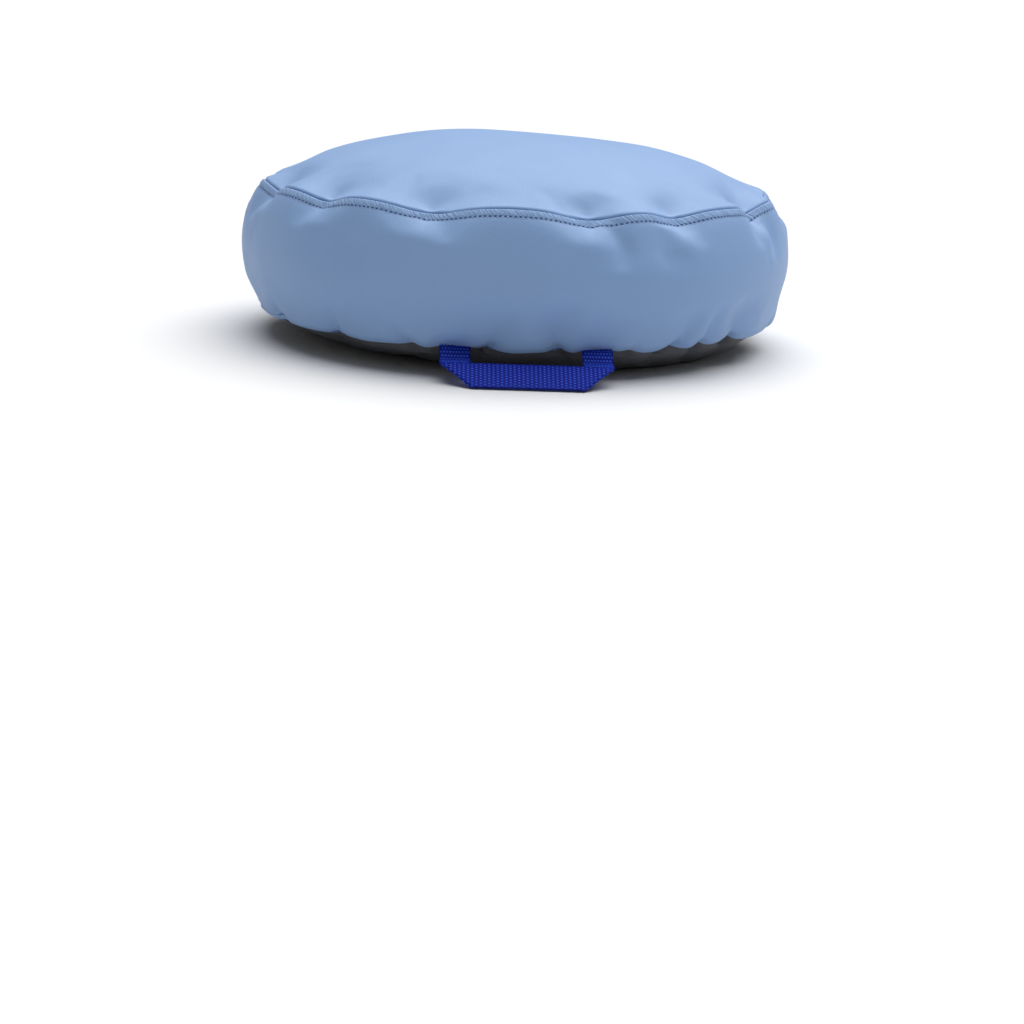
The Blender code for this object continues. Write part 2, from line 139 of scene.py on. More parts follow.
def vinylMaterial(name, stitchRun=None):
    material, tree, shader = newMaterial(name)
    place = addNode(tree, "ShaderNodeTexCoord").outputs["Object"]
    blotch = addNode(tree, "ShaderNodeTexNoise", {"Vector": place, "Scale": 9.0, "Detail": 4.0})
    tone = addNode(tree, "ShaderNodeMix", {
        "Factor": blotch.outputs["Fac"], 6: hexColour(vinyl["colour"]), 7: hexColour(vinyl["shade"]),
    }, data_type="RGBA")
    warp = addNode(tree, "ShaderNodeTexNoise", {"Vector": place, "Scale": 260.0, "Detail": 1.0})
    warped = addNode(tree, "ShaderNodeMix", {
        "Factor": 0.0022, 6: place, 7: warp.outputs["Color"],
    }, data_type="RGBA", clamp_factor=False)
    pebble = addNode(tree, "ShaderNodeTexVoronoi", {
        "Vector": warped.outputs[2], "Scale": 1 / vinyl["grain"], "Smoothness": 0.35,
    }, feature="SMOOTH_F1")
    pore = addNode(tree, "ShaderNodeTexNoise", {
        "Vector": place, "Scale": 1 / vinyl["pore"] / 2, "Detail": 2.0,
    })
    low, high = vinyl["roughness"]
    smear = addNode(tree, "ShaderNodeTexNoise", {"Vector": place, "Scale": 30.0, "Detail": 6.0})
    rough = addNode(tree, "ShaderNodeMapRange", {
        "Value": smear.outputs["Fac"], "From Min": 0.3, "From Max": 0.7, "To Min": low, "To Max": high,
    })
    grain = addNode(tree, "ShaderNodeBump", {
        "Height": pebble.outputs["Distance"], "Strength": 0.75, "Distance": vinyl["grainDepth"],
    }, invert=True)
    fine = addNode(tree, "ShaderNodeBump", {
        "Height": pore.outputs["Fac"], "Strength": 0.35, "Distance": vinyl["grainDepth"] / 2,
        "Normal": grain.outputs["Normal"],
    })
    base, normal = tone.outputs[2], fine.outputs["Normal"]
    if stitchRun:
        spot = addNode(tree, "ShaderNodeSeparateXYZ", {"Vector": addNode(tree, "ShaderNodeUVMap").outputs["UV"]})
        holes = []
        for run, firstStitch, lastStitch in stitchRun:
            share = addNode(tree, "ShaderNodeMath", {0: spot.outputs["X"]}, operation="FRACT")
            along = addNode(tree, "ShaderNodeMath", {0: share.outputs[0], 1: 0.5}, operation="SUBTRACT")
            alongHalf = vinyl["stitchHole"][0] / sewing["pitch"]
            alongSized = addNode(tree, "ShaderNodeMath", {0: along.outputs[0], 1: 1 / alongHalf}, operation="MULTIPLY")
            off = addNode(tree, "ShaderNodeMath", {0: spot.outputs["Y"], 1: run}, operation="SUBTRACT")
            offSized = addNode(tree, "ShaderNodeMath", {
                0: off.outputs[0], 1: 1 / vinyl["stitchHole"][1],
            }, operation="MULTIPLY")
            pair = addNode(tree, "ShaderNodeCombineXYZ", {"X": alongSized.outputs[0], "Y": offSized.outputs[0]})
            far = addNode(tree, "ShaderNodeVectorMath", {0: pair.outputs[0]}, operation="LENGTH")
            inside = addNode(tree, "ShaderNodeMapRange", {
                "Value": far.outputs["Value"], "From Min": 1.25, "From Max": 0.7,
            })
            after = addNode(tree, "ShaderNodeMath", {0: spot.outputs["X"], 1: firstStitch}, operation="GREATER_THAN")
            before = addNode(tree, "ShaderNodeMath", {0: spot.outputs["X"], 1: lastStitch}, operation="LESS_THAN")
            within = addNode(tree, "ShaderNodeMath", {0: after.outputs[0], 1: before.outputs[0]}, operation="MULTIPLY")
            hole = addNode(tree, "ShaderNodeMath", {0: within.outputs[0], 1: inside.outputs[0]}, operation="MULTIPLY")
            holes.append(hole.outputs[0])
        hole = holes[0]
        for other in holes[1:]:
            hole = addNode(tree, "ShaderNodeMath", {0: hole, 1: other}, operation="MAXIMUM").outputs[0]
        # each needle hole is painted dark navy: painted shade inside the hole, over its sunk bump
        base = addNode(tree, "ShaderNodeMix", {
            "Factor": hole, 6: base, 7: hexColour(vinyl["paintedHoleShade"]),
        }, data_type="RGBA").outputs[2]
        pit = addNode(tree, "ShaderNodeBump", {
            "Height": hole, "Strength": 0.8, "Distance": 0.0006, "Normal": normal,
        }, invert=True)
        normal = pit.outputs["Normal"]
        roundabout = addNode(tree, "ShaderNodeMath", {
            0: spot.outputs["X"], 1: sewing["pitch"] / vinyl["dragWidth"],
        }, operation="MULTIPLY")
        slanted = addNode(tree, "ShaderNodeMath", {
            0: spot.outputs["Y"], 1: 1 / vinyl["dragWidth"] / vinyl["dragSlant"], 2: roundabout.outputs[0],
        }, operation="MULTIPLY_ADD")
        down = addNode(tree, "ShaderNodeMath", {
            0: spot.outputs["Y"], 1: 0.15 / vinyl["dragWidth"],
        }, operation="MULTIPLY")
        line = addNode(tree, "ShaderNodeCombineXYZ", {"X": slanted.outputs[0], "Y": down.outputs[0]})
        drag = addNode(tree, "ShaderNodeTexNoise", {"Vector": line.outputs[0], "Scale": 0.9, "Detail": 2.0})
        nearSeam = addNode(tree, "ShaderNodeMapRange", {
            "Value": spot.outputs["Y"], "From Min": stitchRun[0][0] + 0.002, "From Max": stitchRun[0][0] - 0.001,
        })
        dragged = addNode(tree, "ShaderNodeMath", {
            0: drag.outputs["Fac"], 1: nearSeam.outputs[0],
        }, operation="MULTIPLY")
        pulled = addNode(tree, "ShaderNodeBump", {
            "Height": dragged.outputs[0], "Strength": 1.0, "Distance": 0.0022, "Normal": normal,
        })
        normal = pulled.outputs["Normal"]
    tree.links.new(base, shader.inputs["Base Color"])
    tree.links.new(rough.outputs[0], shader.inputs["Roughness"])
    tree.links.new(normal, shader.inputs["Normal"])
    shader.inputs["IOR"].default_value = 1.5
    shader.inputs["Specular IOR Level"].default_value = 0.26
    shader.inputs["Sheen Weight"].default_value = 0.05
    shader.inputs["Sheen Roughness"].default_value = 0.6
    return material


# PVC-backed polyester canvas, charcoal: a flat dull face with a close plain weave
canvas = {"colour": "#48494E", "light": "#5E5F63", "thread": 0.0009, "depth": 0.00022}


def canvasMaterial():
    material, tree, shader = newMaterial("charcoalCoatedCanvas")
    place = addNode(tree, "ShaderNodeTexCoord").outputs["Object"]
    turned = addNode(tree, "ShaderNodeMapping", {"Vector": place, "Rotation": (0.1, 0.06, math.radians(31))})
    spot = addNode(tree, "ShaderNodeSeparateXYZ", {"Vector": turned.outputs[0]})
    waves = []
    for axis in ("X", "Y"):
        phase = addNode(tree, "ShaderNodeMath", {
            0: spot.outputs[axis], 1: math.pi / canvas["thread"],
        }, operation="MULTIPLY")
        wave = addNode(tree, "ShaderNodeMath", {0: phase.outputs[0]}, operation="SINE")
        waves.append(wave.outputs[0])
    weave = addNode(tree, "ShaderNodeMath", {0: waves[0], 1: waves[1]}, operation="MULTIPLY")
    fuzz = addNode(tree, "ShaderNodeTexNoise", {"Vector": place, "Scale": 22.0, "Detail": 8.0, "Roughness": 0.7})
    tone = addNode(tree, "ShaderNodeMix", {
        "Factor": fuzz.outputs["Fac"], 6: hexColour(canvas["colour"]), 7: hexColour(canvas["light"]),
    }, data_type="RGBA")
    bump = addNode(tree, "ShaderNodeBump", {
        "Height": weave.outputs[0], "Strength": 0.7, "Distance": canvas["depth"],
    })
    tree.links.new(tone.outputs[2], shader.inputs["Base Color"])
    tree.links.new(bump.outputs["Normal"], shader.inputs["Normal"])
    shader.inputs["Roughness"].default_value = 0.62
    return material


# Woven polypropylene: glossy yarns, with a painted highlight on the raised yarns and painted shade in the hollows
# between
webbing = {
    "width": 0.0254,
    "thick": 0.0016,
    "handGap": 0.093,
    "reach": 0.050,  # from the hinge line to the grip's outer edge
    "exitSlope": math.radians(14),
    "floorGap": 0.0003,
    "tail": 0.015,  # length that runs in through the seam
    "rowPitch": 0.00345,  # from one row of raised yarns to the next, along the webbing
    "yarnPitch": 0.00254,
    "relief": 0.00042,
    "cell": 0.0005,
    "foldRadius": 0.00098,
    "duck": 0.0050,  # how far each strand dips to pass under the band's foot
    "duckAt": 0.011,
    "duckReach": 0.008,
    "colour": "#1D37B8",
    "paintedCrownHighlight": "#4E74F6",
    "paintedHollowShade": "#0F1F86",
}


def webbingMaterial():
    material, tree, shader = newMaterial("wovenPolypropylene")
    spot = addNode(tree, "ShaderNodeSeparateXYZ", {"Vector": addNode(tree, "ShaderNodeUVMap").outputs["UV"]})
    raised = addNode(tree, "ShaderNodeAttribute", attribute_name="rise")
    filament = addNode(tree, "ShaderNodeCombineXYZ", {"X": spot.outputs["X"], "Y": spot.outputs["Y"]})
    stretched = addNode(tree, "ShaderNodeMapping", {
        "Vector": filament.outputs[0], "Scale": (2200, 7000, 1), "Rotation": (0, 0, 0.35),
    })
    streak = addNode(tree, "ShaderNodeTexNoise", {"Vector": stretched.outputs[0], "Scale": 0.5, "Detail": 3.0})
    low = addNode(tree, "ShaderNodeMapRange", {
        "Value": raised.outputs["Fac"], "From Min": 0.05, "From Max": 0.55,
    })
    high = addNode(tree, "ShaderNodeMapRange", {
        "Value": raised.outputs["Fac"], "From Min": 0.45, "From Max": 0.95,
    })
    # by the yarns' rise: painted shade in the hollows, then a painted highlight on the crowns
    lifted = addNode(tree, "ShaderNodeMix", {
        "Factor": low.outputs[0], 6: hexColour(webbing["paintedHollowShade"]), 7: hexColour(webbing["colour"]),
    }, data_type="RGBA")
    tone = addNode(tree, "ShaderNodeMix", {
        "Factor": high.outputs[0], 6: lifted.outputs[2], 7: hexColour(webbing["paintedCrownHighlight"]),
    }, data_type="RGBA")
    streaked = addNode(tree, "ShaderNodeMix", {
        "Factor": 0.25, 6: tone.outputs[2], 7: streak.outputs["Fac"],
    }, data_type="RGBA", blend_type="OVERLAY")
    bump = addNode(tree, "ShaderNodeBump", {
        "Height": streak.outputs["Fac"], "Strength": 0.5, "Distance": 0.0002,
    })
    tree.links.new(streaked.outputs[2], shader.inputs["Base Color"])
    tree.links.new(bump.outputs["Normal"], shader.inputs["Normal"])
    shader.inputs["Roughness"].default_value = 0.5
    shader.inputs["IOR"].default_value = 1.49
    shader.inputs["Specular IOR Level"].default_value = 0.08
    return material


# Bonded nylon sewing thread: a tight twist with a soft shine, and a painted highlight along the raised plies
def threadMaterial(name, colour, twist=0.0008):
    material, tree, shader = newMaterial(name)
    place = addNode(tree, "ShaderNodeTexCoord").outputs["Object"]
    ply = addNode(tree, "ShaderNodeTexWave", {
        "Vector": place, "Scale": 1 / twist / 6, "Distortion": 1.5, "Detail": 1.0,
    }, bands_direction="DIAGONAL")
    tone = addNode(tree, "ShaderNodeMix", {
        "Factor": ply.outputs["Fac"], 6: hexColour(colour), 7: [c * 1.35 for c in hexColour(colour)[:3]] + [1.0],
    }, data_type="RGBA")
    bump = addNode(tree, "ShaderNodeBump", {"Height": ply.outputs["Fac"], "Strength": 0.5, "Distance": 0.0001})
    tree.links.new(tone.outputs[2], shader.inputs["Base Color"])
    tree.links.new(bump.outputs["Normal"], shader.inputs["Normal"])
    shader.inputs["Roughness"].default_value = 0.48
    return material


# Woven polyester zip tape, black: matt, with a fine herringbone, painted lighter on the raised weave and darker in its
# hollows (painted highlight and painted shade)
def zipTapeMaterial():
    material, tree, shader = newMaterial("wovenZipTape")
    place = addNode(tree, "ShaderNodeTexCoord").outputs["Object"]
    rib = addNode(tree, "ShaderNodeTexWave", {"Vector": place, "Scale": 180.0, "Distortion": 0.6}, bands_direction="Z")
    cross = addNode(tree, "ShaderNodeTexWave", {"Vector": place, "Scale": 240.0, "Distortion": 0.4}, bands_direction="X")
    weave = addNode(tree, "ShaderNodeMath", {0: rib.outputs["Fac"], 1: cross.outputs["Fac"]}, operation="MULTIPLY")
    tone = addNode(tree, "ShaderNodeMix", {
        "Factor": weave.outputs[0], 6: hexColour("#141416"), 7: hexColour("#2C2C30"),
    }, data_type="RGBA")
    bump = addNode(tree, "ShaderNodeBump", {"Height": weave.outputs[0], "Strength": 0.6, "Distance": 0.0002})
    tree.links.new(tone.outputs[2], shader.inputs["Base Color"])
    tree.links.new(bump.outputs["Normal"], shader.inputs["Normal"])
    shader.inputs["Roughness"].default_value = 0.8
    return material


# Extruded nylon monofilament: smooth and slightly glossy, with faint drawing marks
def coilMaterial():
    material, tree, shader = newMaterial("nylonCoil")
    place = addNode(tree, "ShaderNodeTexCoord").outputs["Object"]
    drawn = addNode(tree, "ShaderNodeTexNoise", {"Vector": place, "Scale": 900.0, "Detail": 2.0})
    rough = addNode(tree, "ShaderNodeMapRange", {
        "Value": drawn.outputs["Fac"], "To Min": 0.28, "To Max": 0.46,
    })
    tone = addNode(tree, "ShaderNodeMix", {
        "Factor": drawn.outputs["Fac"], 6: hexColour("#121214"), 7: hexColour("#232327"),
    }, data_type="RGBA")
    tree.links.new(tone.outputs[2], shader.inputs["Base Color"])
    tree.links.new(rough.outputs[0], shader.inputs["Roughness"])
    shader.inputs["IOR"].default_value = 1.53
    return material


# Die-cast zinc, barrel-polished and nickel-plated: bright, with fine tumbling scratches
def nickelMaterial():
    material, tree, shader = newMaterial("nickelPlatedZinc")
    place = addNode(tree, "ShaderNodeTexCoord").outputs["Object"]
    scratch = addNode(tree, "ShaderNodeTexNoise", {"Vector": place, "Scale": 700.0, "Detail": 6.0, "Roughness": 0.75})
    rough = addNode(tree, "ShaderNodeMapRange", {
        "Value": scratch.outputs["Fac"], "From Min": 0.35, "From Max": 0.7, "To Min": 0.18, "To Max": 0.38,
    })
    tone = addNode(tree, "ShaderNodeMix", {
        "Factor": scratch.outputs["Fac"], 6: hexColour("#B9B6AE"), 7: hexColour("#D2CFC8"),
    }, data_type="RGBA")
    bump = addNode(tree, "ShaderNodeBump", {"Height": scratch.outputs["Fac"], "Strength": 0.2, "Distance": 0.00005})
    tree.links.new(tone.outputs[2], shader.inputs["Base Color"])
    tree.links.new(rough.outputs[0], shader.inputs["Roughness"])
    tree.links.new(bump.outputs["Normal"], shader.inputs["Normal"])
    shader.inputs["Metallic"].default_value = 1.0
    return material


# Cut polyurethane foam: cream, with open cells about a millimetre wide, painted darker down in each cell as painted
# shade
def foamMaterial():
    material, tree, shader = newMaterial("openCellFoam")
    place = addNode(tree, "ShaderNodeTexCoord").outputs["Object"]
    cell = addNode(tree, "ShaderNodeTexVoronoi", {"Vector": place, "Scale": 900.0})
    pit = addNode(tree, "ShaderNodeMapRange", {"Value": cell.outputs["Distance"], "From Min": 0.1, "From Max": 0.6})
    tone = addNode(tree, "ShaderNodeMix", {
        "Factor": pit.outputs[0], 6: hexColour("#CDBE8C"), 7: hexColour("#F1E8C8"),
    }, data_type="RGBA")
    bump = addNode(tree, "ShaderNodeBump", {"Height": pit.outputs[0], "Strength": 0.8, "Distance": 0.0004})
    tree.links.new(tone.outputs[2], shader.inputs["Base Color"])
    tree.links.new(bump.outputs["Normal"], shader.inputs["Normal"])
    shader.inputs["Roughness"].default_value = 0.95
    return material


# Bonded polyester fibre: white, matt, with loose crossing fibres, painted greyer where they sink between the raised
# fibres as painted shade
def waddingMaterial():
    material, tree, shader = newMaterial("bondedPolyesterFibre")
    place = addNode(tree, "ShaderNodeTexCoord").outputs["Object"]
    drift = addNode(tree, "ShaderNodeTexNoise", {"Vector": place, "Scale": 60.0, "Detail": 2.0, "Distortion": 1.5})
    strand = addNode(tree, "ShaderNodeTexWave", {
        "Vector": place, "Scale": 120.0, "Distortion": 26.0, "Detail": 3.0, "Detail Scale": 1.6,
    })
    tuft = addNode(tree, "ShaderNodeMath", {0: drift.outputs["Fac"], 1: strand.outputs["Fac"]}, operation="MULTIPLY")
    tone = addNode(tree, "ShaderNodeMix", {
        "Factor": tuft.outputs[0], 6: hexColour("#D9DADA"), 7: hexColour("#F6F6F4"),
    }, data_type="RGBA")
    bump = addNode(tree, "ShaderNodeBump", {"Height": tuft.outputs[0], "Strength": 0.9, "Distance": 0.0012})
    tree.links.new(tone.outputs[2], shader.inputs["Base Color"])
    tree.links.new(bump.outputs["Normal"], shader.inputs["Normal"])
    shader.inputs["Roughness"].default_value = 0.95
    shader.inputs["Sheen Weight"].default_value = 0.3
    return material


# The cover's sizes. Its bulge and its crown come from the frame.
cover = {
    "seamRadius": 0.230,
    "seamLift": 0.026,
    "bandHeight": 0.110,
    "crownPower": 2.5,
    "crownKept": 0.96,
    "sag": (0.07, 0.05, 0.0055, 0.10),  # a soft hollow in the crown: x, y, depth and radius
    "restRadius": 0.150,
    "restPower": 2.3,
    "thick": 0.0011,
    "turnIn": 0.004,
    "coreRadius": 0.105,  # a square patch of faces fills the middle of each round panel, out to here
    "side": 64,  # faces along one side of that patch
    "finest": 0.0011,
    "coarsest": 0.0058,
    "growth": 0.42,
    "ditch": 0.0021,
    "ditchWidth": 0.0010,
    "puff": 0.0003,
    "stitchGroove": 0.0006,
    "stitchGrooveWidth": 0.0011,
}
sewing = {
    "topstitchDrop": 0.008,
    "zipStitchDrop": 0.0077,
    "pitch": 0.0040,
    "thread": 0.00034,
    "seamDepth": 0.0024,
    "threadColour": "#7E9BCB",
}
zipper = {
    "start": math.radians(35),  # measured from +X towards +Y
    "sweep": math.radians(110),
    "slotHalf": 0.0059,
    "stop": 0.0038,
    "coilInner": 0.0006,
    "coilWidth": 0.0024,
    "coilHeight": 0.0020,
    "toothPitch": 0.00135,
    "wire": 0.00027,
    "pullAxisOut": 0.0033,
}
# Where the top seam dips and the band folds above the bottom seam: (degrees round from the front,
# depth in metres, half width in degrees)
topDips = [
    (-73, 0.0054, 6.5), (-48.5, 0.0058, 6), (-22, 0.0064, 8), (12, 0.0066, 8), (32, 0.0066, 6),
    (60.5, 0.0078, 5), (84, 0.0052, 7), (112, 0.0062, 8), (139, 0.0050, 6), (163, 0.0062, 8),
    (-168, 0.0050, 6), (-141, 0.0064, 8), (-117, 0.0052, 6), (-96, 0.0062, 7),
]
baseFolds = [
    (-83, 0.0046, 2.6), (-62, 0.0036, 1.8), (-43, 0.0046, 2.2), (-24, 0.0024, 1.8), (-8.5, 0.0050, 1.6),
    (7, 0.0052, 1.6), (22, 0.0024, 1.8), (32, 0.0054, 1.9), (41, 0.0036, 1.8), (53, 0.0058, 2.1),
    (70, 0.0040, 2.4), (93, 0.0050, 2.4), (112, 0.0036, 1.8), (-104, 0.0050, 2.4), (-122, 0.0034, 1.8),
]

strapMiddle = (webbing["handGap"] + webbing["width"]) / 2
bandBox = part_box("side_band")
bulgeRadius = bandBox[1][0]
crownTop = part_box("top_panel")[1][2]
topSeamZ = cover["seamLift"] + cover["bandHeight"]
bulge = bulgeRadius - cover["seamRadius"]
bandArc = (cover["bandHeight"] ** 2 / 4 + bulge**2) / (2 * bulge)
bandHalf = math.asin(cover["bandHeight"] / 2 / bandArc)


def crownHeight(radius):
    return topSeamZ + cover["crownKept"] * (crownTop - topSeamZ) * (1 - (radius / cover["seamRadius"]) ** cover["crownPower"])


def baseHeight(radius):
    share = max(radius - cover["restRadius"], 0) / (cover["seamRadius"] - cover["restRadius"])
    return cover["seamLift"] * share ** cover["restPower"]


def bandPoint(share):
    angle = bandHalf * (1 - 2 * share)
    middle = bulgeRadius - bandArc
    return Vector((middle + bandArc * math.cos(angle), topSeamZ - cover["bandHeight"] / 2 + bandArc * math.sin(angle)))


# The cover's outline from the middle of the top to the middle of the base, as (radius, height, run)
def meridian(steps=160):
    seam = cover["seamRadius"]
    points = [Vector((seam * i / steps, crownHeight(seam * i / steps))) for i in range(steps)]
    points += [bandPoint(i / steps) for i in range(steps)]
    points += [Vector((seam * (1 - i / steps), baseHeight(seam * (1 - i / steps)))) for i in range(steps + 1)]
    runs = [0.0]
    for before, after in zip(points, points[1:]):
        runs.append(runs[-1] + (after - before).length)
    return points, runs, runs[steps], runs[2 * steps]


outline, outlineRuns, topSeamRun, baseSeamRun = meridian()


def alongOutline(run):
    low, high = 0, len(outlineRuns) - 1
    while high - low > 1:
        middle = (low + high) // 2
        low, high = (middle, high) if outlineRuns[middle] <= run else (low, middle)
    share = (run - outlineRuns[low]) / (outlineRuns[high] - outlineRuns[low])
    return outline[low].lerp(outline[high], share)


# Rings close together at each seam and stitch line, and wider apart between
def ringRuns(stops):
    runs = [stops[0]]
    for first, last in zip(stops, stops[1:]):
        marks = [first]
        while marks[-1] < last:
            nearest = min(marks[-1] - first, last - marks[-1])
            marks.append(marks[-1] + min(cover["finest"] + cover["growth"] * nearest, cover["coarsest"]))
        fit = (last - first) / (marks[-1] - first)
        runs += [first + (mark - first) * fit for mark in marks[1:]]
    return runs


# Degrees round from the front, towards +X
def bearing(point):
    return math.degrees(math.atan2(point.x, -point.y))


# The depth at one bearing, from a list of dips. A low sharpness gives each a pointed middle.
def dipsAt(degrees, places, sharpness, widen=1.0):
    total = 0.0
    for middle, depth, half in places:
        off = abs((degrees - middle + 180) % 360 - 180)
        total += depth * math.exp(-((off / half / widen) ** sharpness))
    return total


def inZip(degrees, margin=0.0):
    fromX = math.radians(degrees - 90)
    fromX = (fromX + math.pi) % math.tau - math.pi
    return zipper["start"] - margin < fromX < zipper["start"] + zipper["sweep"] + margin


# A cube's skin becomes the cover: its top and base are the round panels' middles, and its sides
# are every ring between them
def coverCage():
    stitch, slot, zipStitch = sewing["topstitchDrop"], zipper["slotHalf"], sewing["zipStitchDrop"]
    coreRun = next(run for point, run in zip(outline, outlineRuns) if point.x > cover["coreRadius"])
    coreEnd = next(run for point, run in zip(outline, outlineRuns) if run > baseSeamRun and point.x < cover["coreRadius"])
    stops = [coreRun, topSeamRun, topSeamRun + stitch, baseSeamRun - zipStitch, baseSeamRun - slot]
    stops += [baseSeamRun, baseSeamRun + slot, baseSeamRun + zipStitch, coreEnd]
    runs = ringRuns(stops)
    shape = bmesh.new()
    bmesh.ops.create_cube(shape, size=2)
    level = [e for e in shape.edges if e.verts[0].co.z == e.verts[1].co.z]
    bmesh.ops.subdivide_edges(shape, edges=level, cuts=cover["side"] - 1, use_grid_fill=True)
    upright = [e for e in shape.edges if e.verts[0].co.z != e.verts[1].co.z]
    bmesh.ops.subdivide_edges(shape, edges=upright, cuts=len(runs) - 2, use_grid_fill=True)
    runLayer = shape.verts.layers.float.new("run")
    for vertex in shape.verts:
        x, y, z = vertex.co
        x, y = math.sqrt(2) * math.sin(math.pi * x / 4), math.sqrt(2) * math.sin(math.pi * y / 4)
        onDisc = Vector((x * math.sqrt(1 - y * y / 2), y * math.sqrt(1 - x * x / 2), 0))
        if abs(z) > 1 - 1e-6 and onDisc.length < 1 - 1e-6:
            radius = onDisc.length * (outline[0].lerp(alongOutline(runs[0] if z > 0 else runs[-1]), 1).x)
            height = crownHeight(radius) if z > 0 else baseHeight(radius)
            vertex.co = (*(onDisc.normalized() * radius).xy, height)
            vertex[runLayer] = runs[0] * onDisc.length if z > 0 else outlineRuns[-1] - radius
        else:
            run = runs[round((1 - z) / 2 * (len(runs) - 1))]
            point = alongOutline(run)
            vertex.co = (*(onDisc.normalized() * point.x).xy, point.y)
            vertex[runLayer] = run
    return shape, runLayer


puckers = {
    "above": 0.026,  # how far a dip reaches into the top panel
    "below": 0.015,  # and into the band
    "lift": 0.0034,  # how far the seam rides up between its dips
    "lump": 0.60,  # how far the band swells out under a dip, as a share of the dip
    "lumpRun": 0.028,
    "lumpReach": 0.0095,
    "lumpHalf": 0.52,  # its width, as a share of the dip's
    "dent": 0.48,  # the hollow in the top panel over a dip
    "dentRun": -0.013,
    "dentReach": 0.009,
    "foldRise": 0.24,
    "foldReach": 0.017,
    "foldSlant": 150.0,  # degrees round per metre up, for folds that lean
    "crease": 0.40,  # how deep a sharp crease runs down the middle of each dip and fold, as a share
    "creaseHalf": 1.3,
    "footCrease": 0.72,  # the same for the folds above the bottom seam
    "footCreaseReach": 0.017,
    "footDrop": 0.0030,  # how much lower the bottom seam hangs between the straps and the zip
    "roll": 0.0072,  # how far the band's foot rolls out over the bottom seam
    "rollRun": 0.012,
    "rollReach": 0.011,
    "strapClear": 0.017,
}


def leaning(degrees, above):
    return degrees + puckers["foldSlant"] * above * math.sin(math.radians(degrees * 9))


# 0 along the zip, rising to 1 a little way past its ends
def offZip(degrees):
    off = abs((degrees - 90 - math.degrees(zipper["start"] + zipper["sweep"] / 2) + 180) % 360 - 180)
    return min(max((off - math.degrees(zipper["sweep"] / 2) - 3) / 12, 0.0), 1.0)


# Where a point of the cover goes: in and down at the seam's dips, out in a lump under each of them,
# in at the folds above the bottom seam, and out over that seam except where the webbing leaves it
def puckered(point, run):
    degrees = bearing(point)
    out = Vector((point.x, point.y, 0)).normalized()
    below, above = run - topSeamRun, baseSeamRun - run
    reach = puckers["below"] if below > 0 else puckers["above"]
    widen = 1 + max(-below, 0) / 0.03
    dip = dipsAt(degrees, topDips, 1.9, widen) * math.exp(-((below / reach) ** 2))
    lift = puckers["lift"] * math.exp(-((below / 0.022) ** 2))
    sunk = out * (0.5 * lift - 1.1 * dip) + Vector((0, 0, lift - dip))
    local = dipsAt(degrees, topDips, 2.0, puckers["lumpHalf"])
    lump = puckers["lump"] * math.exp(-(((below - puckers["lumpRun"]) / puckers["lumpReach"]) ** 2))
    dent = puckers["dent"] * math.exp(-(((below - puckers["dentRun"]) / puckers["dentReach"]) ** 2))
    sunk += out * local * lump - Vector((0, 0, local * dent))
    fold = 0.0 if inZip(degrees, 0.12) else dipsAt(leaning(degrees, above), baseFolds, 1.3)
    fold *= math.exp(-((above / (puckers["foldReach"] if above > 0 else 0.010)) ** 2))
    sunk += out * -0.75 * fold + Vector((0, 0, puckers["foldRise"] * fold))
    strap = abs(abs(point.x) - strapMiddle) if point.y < 0 else 1.0
    clear = (1 - 0.25 * math.exp(-((strap / puckers["strapClear"]) ** 4))) * offZip(degrees)
    sunk.z -= puckers["footDrop"] * clear * math.exp(-((above / 0.020) ** 2)) * min(1.0, point.z / 0.02)
    if above > 0:
        roll = puckers["roll"] * clear * math.exp(-(((above - puckers["rollRun"]) / puckers["rollReach"]) ** 2))
        leftward = max(-point.x / cover["seamRadius"], 0)
        sunk += (out * (0.75 - 1.1 * leftward) - Vector((0, 0, 0.75 + 0.1 * leftward))) * roll
    return point + sunk


def pucker(shape, runLayer):
    for vertex in shape.verts:
        run = vertex[runLayer]
        uneven = noise.noise(vertex.co * 9) * 0.0022 + noise.noise(vertex.co * 24) * 0.0007
        free = min(1.0, abs(run - topSeamRun) / 0.02) * min(1.0, abs(run - baseSeamRun) / 0.02)
        if run < baseSeamRun:
            vertex.co += vertex.co.normalized() * uneven * free
        x, y, depth, radius = cover["sag"]
        if run < topSeamRun:
            off = math.hypot(vertex.co.x - x, vertex.co.y - y) / radius
            vertex.co.z -= depth * math.exp(-(off**2)) * free
        vertex.co = puckered(vertex.co, run)


cloth = {"pressure": 3.5, "frames": 20, "cap": 0.007, "kept": 0.25, "ease": -0.03, "easeReach": 0.035, "bending": 1.0}


